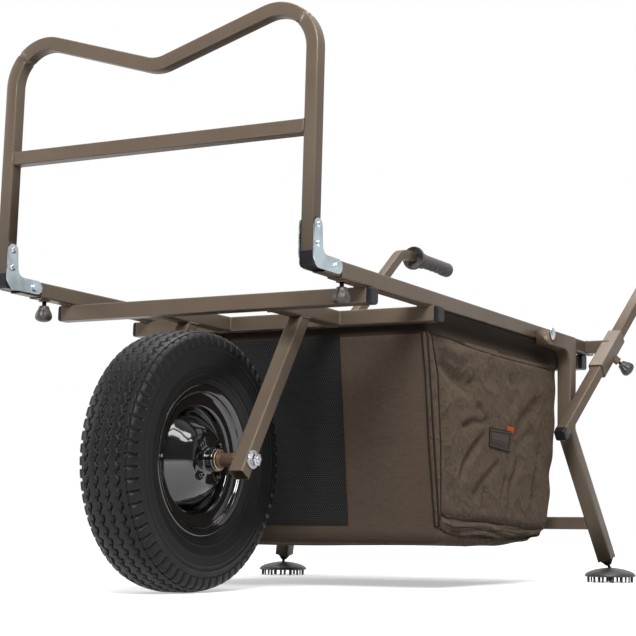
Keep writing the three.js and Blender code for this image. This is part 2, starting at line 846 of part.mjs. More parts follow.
const legEnd = onLeg(legEndHeight);

function legInner(sign) {
  const end = mirrored(legEnd, sign);
  const start = mirrored(legEnd.clone().addScaledVector(legLine, -legInnerLength), sign);
  return swept(tubeShape(legInnerTube), bentPath([start, end]));
}

// The leg's plug tapers to a ball that the foot turns on
function legPlug(sign) {
  const half = legInnerTube / 2;
  const shift = -legLine.z * (legEndHeight - ballHeight) / legLine.z ** 2;
  const head = [
    [0, 0], [half, 0], [half, capChamfer], [plugTipRadius, shift / 2], [neckRadius, shift / 2],
  ];
  const steps = 5;
  const neckAngle = Math.asin(neckRadius / ballRadius);
  for (let step = 0; step <= steps; step += 1) {
    const angle = neckAngle + (Math.PI - neckAngle) * step / steps;
    head.push([ballRadius * Math.sin(angle), shift - ballRadius * Math.cos(angle)]);
  }
  head[head.length - 1][0] = 0;
  const down = point(legLine.x * sign, legLine.y, legLine.z);
  const base = mirrored(legEnd.clone().addScaledVector(legLine, gap), sign);
  const stem = legInnerTube - 2 * tubeWall - 2 * gap;
  const inner = solidBar(stem, stem, base.clone().addScaledVector(down, -plugDepth),
    base.clone().addScaledVector(down, capChamfer));
  return geometryOf(joined(turned(head, 12, base, down), inner));
}

// The foot is a shallow dome on a ring of pins, with a socket for the ball
function foot(sign) {
  const centre = point(sign * footTop.x, footTop.y, 0);
  const neck = plugTipRadius + weldedBossWall;
  const edge = footPinHeight + footRimThickness;
  const rise = footDomeHeight - edge;
  const profile = [[0, footPinHeight], [footRadius, footPinHeight], [footRadius, edge]];
  const steps = 5;
  for (let step = 1; step <= steps; step += 1) {
    const share = step / steps;
    const radius = footRadius + (neck - footRadius) * share;
    profile.push([radius, edge + rise * Math.sin(share * Math.PI / 2)]);
  }
  profile.push([0, footDomeHeight]);
  const dome = turned(profile, 20, centre, point(0, 0, 1));
  const pins = [];
  for (const ring of footPinRings) {
    for (let i = 0; i < ring.count; i += 1) {
      const angle = 2 * Math.PI * (i + 1 / 2) / ring.count;
      const x = centre.x + ring.radius * Math.cos(angle);
      const y = centre.y + ring.radius * Math.sin(angle);
      const pinTop = footPinHeight + footRimThickness / 2;
      pins.push(rod(footPinRadius, point(x, y, 0), point(x, y, pinTop), 4));
    }
  }
  const socket = new THREE.SphereGeometry(ballRadius + gap * 3, 12, 8)
    .rotateX(Math.PI / 2)
    .translate(centre.x, centre.y, ballHeight);
  return geometryOf(cut(joined(dome, ...pins), socket));
}

for (const { name, sign } of sides) {
  addPiece(`spacer_${name}`, spacer(sign), 'bronze');
  addPiece(`strut_${name}`, strut(sign * forkX), 'bronze');
  addPiece(`fork_tube_${name}`, forkTube(sign * forkX), 'bronze');
  addPiece(`rail_${name}`, rail(sign), 'bronze');
  const railEnd = point(sign * railX, railRear, slideCentre);
  addPiece(`rail_plug_${name}`, tubePlug(railTube, capLength, railEnd, point(0, 1, 0)), 'plastic');
  const screwTip = (railTube - slideTube) / 2 - gap + knobBossHeight;
  const knobBase = point(sign * railX, railKnobY, railBase - knobBossHeight);
  addPiece(`rail_knob_${name}`,
    knob(knobHeadRadius, railKnobReach, screwTip, knobBase, point(0, 0, -1)), 'knob');
  addPiece(`handle_${name}`, handleTubeGeometry(sign), 'bronze');
  const lower = mirrored(onHandle(handleLowerY), sign);
  const down = point(-handleDirection.x * sign, -handleDirection.y, -handleDirection.z);
  addPiece(`handle_cap_${name}`, tubePlug(handleTube, handleCapLength, lower, down), 'plastic');
  addPiece(`handle_grip_${name}`, handleGrip(sign), 'grip');
  addPiece(`handle_sleeve_${name}`, handleSleeve(sign), 'bronze');
  const knobRoot = mirrored(onHandle(stubY - handleKnobInset), sign);
  const knobOut = handleKnobDirection(sign);
  addPiece(`slide_tube_${name}`, slide(sign), 'bronze');
  addPiece(`bracket_outer_${name}`, outerPlate(sign), 'zinc');
  addPiece(`bracket_inner_${name}`, innerPlate(sign), 'zinc');
  addPiece(`post_plug_${name}`, postPlug(sign), 'plastic');
  addPiece(`leg_${name}`, leg(sign), 'bronze');
  addPiece(`leg_pivot_bolt_${name}`, legPivotBolt(sign), 'steel');
  addPiece(`leg_inner_${name}`, legInner(sign), 'bronze');
  addPiece(`leg_plug_${name}`, legPlug(sign), 'plastic');
  addPiece(`foot_${name}`, foot(sign), 'foot');
  const bossFace = knobRoot.clone().addScaledVector(knobOut, handleKnobBossReach);
  const tubeCorner = handleTube / 2 * (Math.cos(handleKnobTurn) + Math.sin(handleKnobTurn));
  const knobTip = handleKnobBossReach - tubeCorner - gap;
  addPiece(`handle_knob_${name}`,
    knob(handleKnobBall, handleKnobReach - handleKnobBossReach, knobTip, bossFace, knobOut), 'knob');
}

addPiece('rack_hoop', rackHoop(), 'bronze');
addPiece('rack_bar', rackBar(), 'bronze');
addPiece('leg_bar', legBar(), 'bronze');

// Bag: its side outline, extruded across, then drawn in from the base to the shoulder and the top
function bag() {
  const top = railBase - gap;
  const shoulder = railBase - bagShoulderDrop;
  const halfBase = railX + bagBaseOverhang;
  const side = new THREE.Shape();
  side.moveTo(bagFrontBase, bagFrontBaseHeight);
  side.quadraticCurveTo((bagFrontBase + bagRearLow) / 2, bagBase - (bagFrontBaseHeight - bagBase),
    bagRearLow, bagRearLowHeight);
  side.quadraticCurveTo(bagRear, bagRearLowHeight, bagRear, bagRearHeight);
  side.lineTo(bagRearTop, shoulder);
  side.lineTo(bagRearTop - bagEdge, top);
  side.lineTo(middleCrossbarY + crossbarTube / 2 + bagEdge, top);
  side.lineTo(middleCrossbarY + crossbarTube / 2 + bagEdge, shoulder + bagEdge);
  side.lineTo(bagFrontTop, shoulder);
  const geometry = new THREE.ExtrudeGeometry(side, {
    depth: 2 * (halfBase - bagEdge),
    curveSegments: 6,
    bevelThickness: bagEdge,
    bevelSize: bagEdge,
    bevelOffset: -bagEdge,
    bevelSegments: 2,
  }).translate(0, 0, bagEdge - halfBase).rotateX(Math.PI / 2).rotateZ(Math.PI / 2);
  const places = geometry.attributes.position;
  for (let i = 0; i < places.count; i += 1) {
    const height = places.getZ(i);
    const low = THREE.MathUtils.clamp((height - bagBase) / (shoulder - bagBase), 0, 1);
    const high = THREE.MathUtils.clamp((height - shoulder) / (top - shoulder), 0, 1);
    const half = halfBase - low * (bagBaseOverhang - bagShoulderOverhang)
      - high * (bagShoulderOverhang + bagTopInset);
    places.setX(i, places.getX(i) * half / halfBase);
  }
  geometry.computeVertexNormals();
  return geometry;
}

addPiece('bag', bag(), 'cloth');

// The origin lies on the ground under the middle of the trolley's length
const whole = new THREE.Box3().setFromObject(trolley);
trolley.position.y = -(whole.min.y + whole.max.y) / 2;

export default trolley;
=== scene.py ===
import json
import math

import bpy
import numpy as np
from mathutils import Matrix, Vector


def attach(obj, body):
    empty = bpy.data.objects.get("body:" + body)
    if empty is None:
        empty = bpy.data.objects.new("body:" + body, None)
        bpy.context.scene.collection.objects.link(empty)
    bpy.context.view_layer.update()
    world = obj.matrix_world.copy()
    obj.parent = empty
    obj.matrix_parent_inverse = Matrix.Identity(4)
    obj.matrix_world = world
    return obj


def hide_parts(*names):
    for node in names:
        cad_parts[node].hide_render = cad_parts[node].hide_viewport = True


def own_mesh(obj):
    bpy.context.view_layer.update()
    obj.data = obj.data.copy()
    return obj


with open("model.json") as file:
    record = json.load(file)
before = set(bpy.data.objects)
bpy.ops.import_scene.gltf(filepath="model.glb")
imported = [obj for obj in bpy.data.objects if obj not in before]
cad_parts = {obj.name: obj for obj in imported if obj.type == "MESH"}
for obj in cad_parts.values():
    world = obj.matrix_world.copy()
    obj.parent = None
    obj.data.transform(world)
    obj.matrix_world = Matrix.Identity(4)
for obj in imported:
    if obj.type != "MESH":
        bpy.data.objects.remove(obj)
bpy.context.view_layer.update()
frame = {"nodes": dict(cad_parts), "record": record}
nodes = frame["nodes"]

# Sizes are in millimetres with the wheel's axle at y = 0. SHIFT carries them to the frame's middle.
SHIFT = -720.5
SIDES = (("near", 1), ("far", -1))
# How far the rails' and the struts' middles stand out from the trolley's middle
RAIL_X = 277.3
STRUT_X = 108.5


def placed(points):
    """Working millimetres to the frame's metres."""
    return (np.asarray(points, float).reshape(-1, 3) + (0, SHIFT, 0)) / 1000


def unit(v):
    v = np.asarray(v, float)
    return v / np.linalg.norm(v)


def add_object(name, data):
    obj = bpy.data.objects.new(name, data)
    bpy.context.scene.collection.objects.link(obj)
    return obj


# Camera at the photograph's angle

def add_camera():
    data = bpy.data.cameras.new("photo_camera")
    data.sensor_width = 36
    data.lens = 85.79
    data.shift_x = -0.2890
    data.shift_y = -0.0102
    data.clip_end = 60
    cam = add_object("photo_camera", data)
    forward = Vector((-0.4013, 0.9047, 0.1433)).normalized()
    right = Vector((0.9146, 0.4042, 0.0093)).normalized()
    up = right.cross(forward).normalized()
    turn = Matrix((right, up, -forward)).transposed().to_4x4()
    cam.matrix_world = Matrix.Translation(placed((1391.3, -1940.9, 97.0))[0]) @ turn
    bpy.context.scene.camera = cam


add_camera()


# Node materials

class Nodes:
    """Nodes and links in one tree, made by small calls."""

    def __init__(self, tree):
        self.tree = tree

    def put(self, socket, value):
        if isinstance(value, bpy.types.NodeSocket):
            self.tree.links.new(value, socket)
        elif hasattr(value, "__len__") and len(value) == 3 and len(socket.default_value) == 4:
            socket.default_value = (*value, 1)
        else:
            socket.default_value = value

    def node(self, kind, *ordered, operation=None, **named):
        made = self.tree.nodes.new(kind)
        if operation:
            made.operation = operation
        for socket, value in zip(made.inputs, ordered):
            self.put(socket, value)
        for name, value in named.items():
            self.put(made.inputs[name.replace("_", " ")], value)
        return made.outputs

    def math(self, operation, *values):
        return self.node("ShaderNodeMath", *values, operation=operation)[0]

    def times(self, a, b):
        return self.math("MULTIPLY", a, b)

    def plus(self, a, b):
        return self.math("ADD", a, b)

    def vector(self, operation, *values):
        return self.node("ShaderNodeVectorMath", *values, operation=operation)

    def range(self, value, low, high, to_low=0.0, to_high=1.0):
        return self.node("ShaderNodeMapRange", value, low, high, to_low, to_high)[0]

    def mix_shaders(self, share, a, b):
        return self.node("ShaderNodeMixShader", share, a, b)[0]

    def background_rays(self):
        """1 for rays that see the background: from the camera, from gloss and through glass."""
        rays = self.node("ShaderNodeLightPath")
        most = self.math("MAXIMUM", rays["Is Camera Ray"], rays["Is Glossy Ray"])
        return self.math("MAXIMUM", most, rays["Is Transmission Ray"])


class Look(Nodes):
    """One material on the object's own coordinates."""

    def __init__(self, name):
        self.mat = bpy.data.materials.new(name)
        self.mat.use_nodes = True
        super().__init__(self.mat.node_tree)
        self.out = next(n for n in self.tree.nodes if n.type == "OUTPUT_MATERIAL")
        self.bsdf = next(n for n in self.tree.nodes if n.type == "BSDF_PRINCIPLED")
        self.coords = self.node("ShaderNodeTexCoord")["Object"]

    def noise(self, scale, detail=3.0, roughness=0.55, coords=None):
        return self.node("ShaderNodeTexNoise", Scale=scale, Detail=detail, Roughness=roughness,
                         Vector=coords or self.coords)["Fac"]

    def stretched(self, factors):
        return self.vector("MULTIPLY", self.coords, factors)[0]

    def split(self):
        return self.node("ShaderNodeSeparateXYZ", self.coords)

    def mix(self, share, a, b):
        made = self.tree.nodes.new("ShaderNodeMix")
        made.data_type = "RGBA"
        for index, value in ((0, share), (6, a), (7, b)):
            self.put(made.inputs[index], value)
        return made.outputs[2]

    def bump(self, height, strength, distance, under=None):
        normal = {} if under is None else {"Normal": under}
        return self.node("ShaderNodeBump", Height=height, Strength=strength, Distance=distance, **normal)[0]

    def bevel(self, radius):
        made = self.tree.nodes.new("ShaderNodeBevel")
        made.samples = 6
        made.inputs["Radius"].default_value = radius
        return made.outputs["Normal"]

    def edges(self, soft_normal):
        """1 along edges, 0 on flats: how far the rounded normal leaves the flat one."""
        flat = self.node("ShaderNodeNewGeometry")["Normal"]
        return self.range(self.vector("DOT_PRODUCT", flat, soft_normal)["Value"], 0.995, 0.85)

    def surface(self, **sockets):
        for name, value in sockets.items():
            self.put(self.bsdf.inputs[name.replace("_", " ")], value)
        return self.mat


def shade(colour, factor):
    """The colour made lighter or darker."""
    return tuple(c * factor for c in colour)


def painted(name, colour, metal=0.28, rough=0.41):
    """A satin metallic coat: faint speckle, faint orange peel, and paint thinned along the edges."""
    look = Look(name)
    soft = look.bevel(0.0018)
    patch = look.noise(5.0, 4.0)
    speck = look.noise(2600.0, 1.0)
    base = look.mix(look.range(patch, 0.3, 0.7), shade(colour, 0.93), shade(colour, 1.07))
    base = look.mix(look.range(speck, 0.6, 0.8, 0.0, 0.3), base, shade(colour, 1.9))
    worn = look.times(look.edges(soft), look.range(look.noise(60.0), 0.35, 0.75, 0.0, 0.5))
    base = look.mix(worn, base, shade(colour, 1.9))
    return look.surface(
        Base_Color=base, Metallic=metal, Specular_IOR_Level=0.2,
        Roughness=look.range(look.noise(22.0), 0.2, 0.8, rough - 0.05, rough + 0.08),
        Coat_Weight=0.04, Coat_Roughness=0.2,
        Normal=look.bump(look.noise(700.0, 2.0), 0.12, 0.0004, soft))


def rubber(name, colour, rough, fine=900.0, depth=0.0006, strength=0.25, specular=0.25):
    """Matt rubber with faint dust and a fine grain."""
    look = Look(name)
    dusty = look.range(look.noise(9.0, 5.0), 0.45, 0.8, 0.0, 0.35)
    base = look.mix(dusty, colour, shade(colour, 1.5))
    return look.surface(
        Base_Color=base, Specular_IOR_Level=specular,
        Roughness=look.range(look.noise(35.0, 4.0), 0.25, 0.75, rough - 0.07, rough + 0.07),
        Normal=look.bump(look.noise(fine, 3.0), strength, depth))


def gloss_black(name):
    """Black gloss paint with a few specks of dust and a slight unevenness."""
    look = Look(name)
    specks = look.range(look.noise(420.0, 2.0), 0.66, 0.74, 0.0, 0.12)
    return look.surface(
        Base_Color=look.mix(specks, (0.0045, 0.0045, 0.005), (0.05, 0.05, 0.05)),
        Roughness=look.range(look.noise(14.0, 4.0), 0.3, 0.8, 0.06, 0.14),
        Coat_Weight=0.6, Coat_Roughness=0.04,
        Normal=look.bump(look.noise(26.0, 2.0), 0.05, 0.0012))


def bright_metal(name, colour, rough, brushed, bright=0.0):
    """Bare or plated metal with fine lines and stains. A higher bright paints more light patches into its
    colour: painted reflections.
    """
    look = Look(name)
    soft = look.bevel(0.0006)
    lines = look.noise(1.0, 2.0, 0.5, look.stretched(brushed))
    stains = look.range(look.noise(55.0, 5.0), 0.4, 0.75, 0.0, 0.5)
    base = look.mix(stains, colour, shade(colour, 0.72))
    # Broad light patches, as many as bright asks for, are painted reflections in the colour.
    base = look.mix(look.range(look.noise(19.0, 2.0), 0.42, 0.62, 0.0, bright), base, shade(colour, 1.5))
    return look.surface(
        Base_Color=base, Metallic=1.0,
        Roughness=look.range(lines, 0.3, 0.7, rough - 0.06, rough + 0.1),
        Normal=look.bump(lines, 0.08, 0.0002, soft))


def moulded(name, colour, rough, edge=0.0008, specular=0.5):
    """Moulded plastic with a fine grain and lighter scuffs along the edges."""
    look = Look(name)
    soft = look.bevel(edge)
    scuffs = look.times(look.edges(soft), look.range(look.noise(90.0), 0.4, 0.7, 0.0, 0.5))
    uneven = look.range(look.noise(12.0, 4.0), 0.3, 0.7)
    base = look.mix(uneven, shade(colour, 0.9), shade(colour, 1.15))
    base = look.mix(scuffs, base, shade(colour, 2.4))
    return look.surface(
        Base_Color=base, Specular_IOR_Level=specular,
        Roughness=look.range(look.noise(40.0), 0.3, 0.7, rough - 0.06, rough + 0.08),
        Normal=look.bump(look.noise(1100.0, 3.0), 0.22, 0.0004, soft))


def weave(look):
    """A plain weave from two crossed waves, the first round the bag and the second up it."""
    x, y, z = look.split()
    turns = 2 * math.pi / 0.0011
    across = look.math("SINE", look.times(look.plus(x, y), turns))
    upward = look.math("SINE", look.times(z, turns))
    return look.times(across, upward)


def cloth(name, colour, slub=0.2, crease=0.0):
    """Slubby woven cloth, with an optional net of fine creases over it."""
    look = Look(name)
    threads = weave(look)
    long_slubs = look.noise(1.0, 3.0, 0.6, look.stretched((900.0, 900.0, 45.0)))
    cross_slubs = look.noise(1.0, 3.0, 0.6, look.stretched((45.0, 45.0, 900.0)))
    slubs = look.times(look.plus(long_slubs, cross_slubs), 0.5)
    base = look.mix(look.range(slubs, 0.35, 0.65), shade(colour, 1 - slub), shade(colour, 1 + slub))
    base = look.mix(look.range(look.noise(7.0, 4.0), 0.35, 0.7, 0.0, 0.5), base, shade(colour, 0.8))
    base = look.mix(look.range(threads, -1.0, 1.0, 0.0, 0.25), base, shade(colour, 0.6))
    height = look.plus(look.times(threads, 0.3), slubs)
    under = None
    for scale, deep in ((16.0, 0.010), (42.0, 0.004)) if crease else ():
        ridge = look.math("ABSOLUTE", look.math("SUBTRACT", look.noise(scale, 2.0, 0.5), 0.5))
        ridge = look.range(ridge, 0.0, 0.12, 1.0, 0.0)
        under = look.bump(look.math("POWER", ridge, 2.0), crease, deep, under)
    return look.surface(
        Base_Color=base, Roughness=0.92, Specular_IOR_Level=0.25,
        Sheen_Weight=0.25, Sheen_Roughness=0.5, Sheen_Tint=(*shade(colour, 4), 1),
        Normal=look.bump(height, 0.6, 0.0008, under))


def air_mesh(name):
    """Black knitted mesh: rows of small round openings, each row half a step along from the last."""
    look = Look(name)
    x, y, z = look.split()
    step = 0.0042
    rise = step * math.sqrt(3)

    def nearest(offset):
        u = look.math("FRACT", look.plus(look.math("DIVIDE", look.plus(x, y), step), offset))
        v = look.math("FRACT", look.plus(look.math("DIVIDE", z, rise), offset))
        u = look.times(look.math("SUBTRACT", u, 0.5), step)
        v = look.times(look.math("SUBTRACT", v, 0.5), rise)
        return look.math("SQRT", look.plus(look.times(u, u), look.times(v, v)))

    distance = look.math("MINIMUM", nearest(0.0), nearest(0.5))
    thread = look.range(distance, 0.0005, 0.0010)
    uneven = look.range(look.noise(30.0, 4.0), 0.3, 0.7, 0.6, 1.2)
    base = look.mix(thread, (0.060, 0.060, 0.056), (0.0042, 0.0044, 0.0046))
    base = look.mix(look.times(uneven, 0.25), base, (0.009, 0.009, 0.0095))
    return look.surface(
        Base_Color=base, Roughness=0.75, Specular_IOR_Level=0.15, Sheen_Weight=0.05,
        Normal=look.bump(thread, 0.6, 0.0008))


BRONZE = (0.126, 0.095, 0.069)
CLOTH = (0.082, 0.058, 0.040)
# The front's cloth is a little darker than the sides' as painted shade, the front lying under the deck.
SHADED_FRONT_CLOTH = (0.077, 0.054, 0.038)

looks = {
    "bronze": painted("bronze_paint", BRONZE),
    "tyre": rubber("tyre_rubber", (0.0048, 0.0048, 0.0052), 0.46, specular=0.2),
    "rim": gloss_black("rim_gloss_black"),
    "spacer": painted("spacer_paint", (0.098, 0.062, 0.042), 0.4, 0.36),
    "yellow_zinc": bright_metal("yellow_zinc", (0.36, 0.28, 0.15), 0.3, (200.0, 200.0, 200.0)),
    "steel": bright_metal("bolt_steel", (0.47, 0.48, 0.50), 0.26, (200.0, 200.0, 200.0)),
    # The zinc's light patches are painted reflections.
    "zinc": bright_metal("bracket_zinc", (0.36, 0.42, 0.45), 0.30, (60.0, 60.0, 60.0), bright=0.7),
    "plastic": moulded("cap_plastic", (0.0075, 0.0075, 0.0095), 0.42, specular=0.22),
    "knob": moulded("knob_plastic", (0.040, 0.033, 0.028), 0.38),
    "grip": rubber("grip_rubber", (0.135, 0.118, 0.116), 0.72, 1500.0, 0.0005, 0.35),
    "foot": moulded("foot_plastic", (0.046, 0.041, 0.039), 0.40),
    "cloth": cloth("bag_cloth", CLOTH, 0.26, 0.30),
    "trim": cloth("bag_trim", shade(CLOTH, 0.17), 0.12),
    # The hem's cloth is darkened as painted shade, for the recess under the rails that lies in shadow.
    "hem_painted_shade": cloth("bag_hem_painted_shade", shade(CLOTH, 0.30), 0.1),
    # The front cloth: the same cloth with fewer creases, darkened as painted shade.
    "front_cloth_painted_shade": cloth("bag_front_cloth_painted_shade", SHADED_FRONT_CLOTH, 0.26, 0.06),
    "mesh": air_mesh("bag_mesh"),
    "patch": rubber("patch_rubber", (0.050, 0.039, 0.031), 0.7),
    "tab": cloth("tab_cloth", (0.36, 0.062, 0.022), 0.1),
    "zip": moulded("zip_coil", (0.020, 0.017, 0.014), 0.4, 0.0002),
}
for name, obj in nodes.items():
    slot = next(s["material_slot"] for s in frame["record"]["subparts"] if s["node"] == name)
    obj.data.materials.clear()
    obj.data.materials.append(looks[slot])


# Mesh helpers

def add_mesh(name, points, faces, look, body, replaces=None, smooth=True):
    mesh = bpy.data.meshes.new(name)
    mesh.from_pydata(placed(points).tolist(), [], [tuple(f) for f in faces])
    mesh.polygons.foreach_set("use_smooth", [smooth] * len(mesh.polygons))
    mesh.materials.append(looks[look])
    mesh.update()
    obj = add_object(name, mesh)
    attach(obj, body)
    if replaces:
        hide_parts(replaces)
    return obj


def grid_faces(rows, cols, wrap_rows=False, wrap_cols=False):
    """Quads over a grid of points stored row by row."""
    i = np.arange(rows if wrap_rows else rows - 1)
    j = np.arange(cols if wrap_cols else cols - 1)
    i, j = (a.ravel() for a in np.meshgrid(i, j, indexing="ij"))
    a, b = i * cols + j, i * cols + (j + 1) % cols
    c, d = ((i + 1) % rows) * cols + (j + 1) % cols, ((i + 1) % rows) * cols + j
    return np.stack([a, b, c, d], 1).tolist()


def end_faces(rings, sides):
    """The two faces that close a tube of rings."""
    return [list(range(sides))[::-1], [(rings - 1) * sides + k for k in range(sides)]]


def side_axes(direction):
    """Two directions square to this one, the first level in X where it can be."""
    z = unit(direction)
    level = np.array((0, 1, 0)) if abs(z[0]) > 0.7 else np.array((1, 0, 0))
    x = unit(level - z * level.dot(z))
    return x, np.cross(z, x)


def circle(count):
    """Angles evenly spread round a circle, as a column."""
    return np.linspace(0, 2 * math.pi, count, endpoint=False)[:, None]


def lathe(profile, segments, base, direction):
    """Points and faces of a turned form. Its profile of (radius, along) ends on the axis or on itself."""
    x, y = side_axes(direction)
    z = unit(direction)
    ring = np.cos(circle(segments)) * x + np.sin(circle(segments)) * y
    profile = np.asarray(profile, float)
    points = np.asarray(base, float) + profile[None, :, :1] * ring[:, None, :] + profile[None, :, 1:] * z
    return points.reshape(-1, 3), grid_faces(segments, len(profile), wrap_rows=True)


def rounded(profile, radius=0.8, steps=2):
    """The same outline with all its corners rounded but the two ends."""
    p = np.asarray(profile, float)
    out = [p[0]]
    for before, here, after in zip(p[:-2], p[1:-1], p[2:]):
        a, b = before - here, after - here
        room = min(radius, np.linalg.norm(a) * 0.45, np.linalg.norm(b) * 0.45)
        start, end = here + unit(a) * room, here + unit(b) * room
        for t in np.linspace(0, 1, steps + 1):
            out.append((1 - t) ** 2 * start + 2 * t * (1 - t) * here + t ** 2 * end)
    out.append(p[-1])
    return np.array(out)


def add_lathe(name, profile, base, direction, look, body, round_by, replaces=None, segments=48):
    points, faces = lathe(rounded(profile, round_by), segments, base, direction)
    add_mesh(name, points, faces, look, body, replaces)


def joined(pieces):
    """Several pairs of points and faces as one."""
    points, faces, count = [], [], 0
    for more, its_faces in pieces:
        faces += [[count + k for k in face] for face in its_faces]
        points.append(more)
        count += len(more)
    return np.concatenate(points), faces


def square_section(width, depth, corner):
    """The outline of a square tube, with its corners rounded in four steps."""
    steps = 4
    out = []
    for cx, cy, start in ((1, 1, 0), (-1, 1, 90), (-1, -1, 180), (1, -1, 270)):
        for angle in np.radians(np.linspace(start, start + 90, steps + 1)):
            out.append((cx * (width / 2 - corner) + corner * math.cos(angle),
                        cy * (depth / 2 - corner) + corner * math.sin(angle)))
    return np.array(out)


def bent_path(corners, radii):
    """Stations (place, tangent) along straight runs joined by round bends."""
    steps = 20
    corners = [np.asarray(c, float) for c in corners]
    stations = [(corners[0], unit(corners[1] - corners[0]))]
    for i in range(1, len(corners) - 1):
        before, after = unit(corners[i] - corners[i - 1]), unit(corners[i + 1] - corners[i])
        turn = math.acos(np.clip(before.dot(after), -1, 1))
        hinge = unit(np.cross(before, after))
        radius = radii[i - 1]
        inward = np.cross(hinge, before)
        centre = corners[i] - before * radius * math.tan(turn / 2) + inward * radius
        for step in range(steps + 1):
            swing = turn * step / steps
            place = centre - inward * radius * math.cos(swing) + before * radius * math.sin(swing)
            stations.append((place, before * math.cos(swing) + inward * math.sin(swing)))
    stations.append((corners[-1], unit(corners[-1] - corners[-2])))
    return stations


def sweep(section, stations):
    """A tube of the given section through the stations, closed at both ends."""
    rings = []
    for place, tangent in stations:
        x, y = side_axes(tangent)
        rings.append(place + section[:, :1] * x + section[:, 1:] * y)
    faces = grid_faces(len(stations), len(section), wrap_cols=True)
    return np.concatenate(rings), faces + end_faces(len(stations), len(section))


def add_tube(name, size, corners, radii, body, replaces):
    points, faces = sweep(square_section(size, size, 3), bent_path(corners, radii))
    add_mesh(name, points, faces, "bronze", body, replaces)


def add_cord_line(name, points, radius, look, body):
    """A thin round line, such as piping or a weld, through the given points."""
    sides = 8
    p = np.asarray(points, float)
    turn = circle(sides)
    rings = []
    for place, tangent, r in zip(p, np.gradient(p, axis=0), np.broadcast_to(radius, (len(p),))):
        x, y = side_axes(tangent)
        rings.append(place + r * (np.cos(turn) * x + np.sin(turn) * y))
    faces = grid_faces(len(p), sides, wrap_cols=True) + end_faces(len(p), sides)
    return add_mesh(name, np.concatenate(rings), faces, look, body)


def ease(value, low, high):
    """0 below low, 1 above high and a smooth rise between."""
    t = np.clip((value - low) / (high - low), 0, 1)
    return t * t * (3 - 2 * t)


def smooth_line(points, count):
    """Points evenly spread on a smooth curve through the given ones."""
    p = np.asarray(points, float)
    along = np.concatenate([[0], np.cumsum(np.linalg.norm(np.diff(p, axis=0), axis=1))])
    want = np.linspace(0, along[-1], count)
    slopes = np.gradient(p, along, axis=0)
    k = np.clip(np.searchsorted(along, want) - 1, 0, len(p) - 2)
    span = (along[k + 1] - along[k])[:, None]
    t = ((want - along[k]) / span[:, 0])[:, None]
    return ((2 * t ** 3 - 3 * t ** 2 + 1) * p[k] + (t ** 3 - 2 * t ** 2 + t) * span * slopes[k]
            + (3 * t ** 2 - 2 * t ** 3) * p[k + 1] + (t ** 3 - t ** 2) * span * slopes[k + 1])


# Wheel: axle along X at z = 200
AXLE = (0.0, 0.0, 200.0)
# The tread's shoulder ends and the sidewall begins at this radius
WALL_TOP = 178


def add_tyre():
    """A grid round the axle, with its points lowered for zigzag grooves, sipes and shoulder notches."""
    # zigzags round the tyre, and rows of points in each
    zigzags, per = 66, 12
    count = zigzags * per
    tread = np.arange(-42, 42.01, 0.7)[1:-1]
    crown = 200 - 6 * (np.clip(np.abs(tread) - 13, 0, None) / 29) ** 2
    wall = smooth_line([(41.9, 194.2), (45.6, 190.5), (48.4, 182), (50, 166), (49.4, 152), (46.8, 138),
                        (42.5, 126), (38.5, 119), (36.6, 116.6)], 60)
    wall = np.vstack([wall, (33.0, 114.5), (32.6, 105.0)])
    xs = np.concatenate([-wall[::-1, 0], tread, wall[:, 0]])
    rs = np.concatenate([wall[::-1, 1], crown, wall[:, 1]])
    theta = circle(count)
    step = np.arange(count)[:, None] % per
    phase = step / per
    swing = np.clip(3.4 * (1 - 4 * np.abs(phase - 0.5)), -2.1, 2.1)
    x, r = (np.tile(values, (count, 1)) for values in (xs, rs))
    depth = np.zeros_like(r)
    for centre, turn in ((-27, 1), (-9, 1), (9, 1), (27, 1)):
        off = x - centre - swing * turn
        depth = np.maximum(depth, 4.6 * np.clip((1.9 - np.abs(off)) / 0.7, 0, 1))
        for way, at in ((1, 9), (-1, 3)):
            stem = (off * way > 1.6) & (off * way < 5.6) & (step == at)
            bar = (np.abs(off * way - 4.9) < 0.5) & (np.abs(step - at) < 2) & (np.abs(x) < 38)
            depth = np.maximum(depth, 2.0 * (stem | bar))
    lug = (np.abs(x) > 37.5) & (r > WALL_TOP)
    notch = np.clip((0.17 - np.abs(phase - 0.5)) / 0.06, 0, 1)
    slot = (np.abs(np.abs(x) - 39.2) < 1.0) & (np.abs(phase - 0.5) > 0.24)
    depth = np.where(lug, np.maximum(depth, 4.0 * notch), depth)
    depth = np.where(slot, np.maximum(depth, 1.6), depth)
    low = r < WALL_TOP
    ridges = ((168, 1.6, 1.0), (160, 0.7, 0.5), (146, 0.7, 0.6), (143, 0.7, 0.6), (129, 1.5, 1.0),
              (123.5, 1.0, 0.8))
    rings = sum(high * np.exp(-((r - centre) / width) ** 2) for centre, width, high in ridges)
    r = np.where(lug, r - depth * 0.45, np.where(low, r, r - depth))
    x = np.where(low, x + np.sign(x) * (rings - 1.1), x)
    x = x - np.sign(x) * np.where(lug, depth * 0.9, 0)
    points = np.stack([x, r * np.sin(theta), AXLE[2] + r * np.cos(theta)], -1)
    faces = grid_faces(count, len(xs), True, True)
    add_mesh("tyre_ribbed", points.reshape(-1, 3), faces, "tyre", "wheel", "tyre")


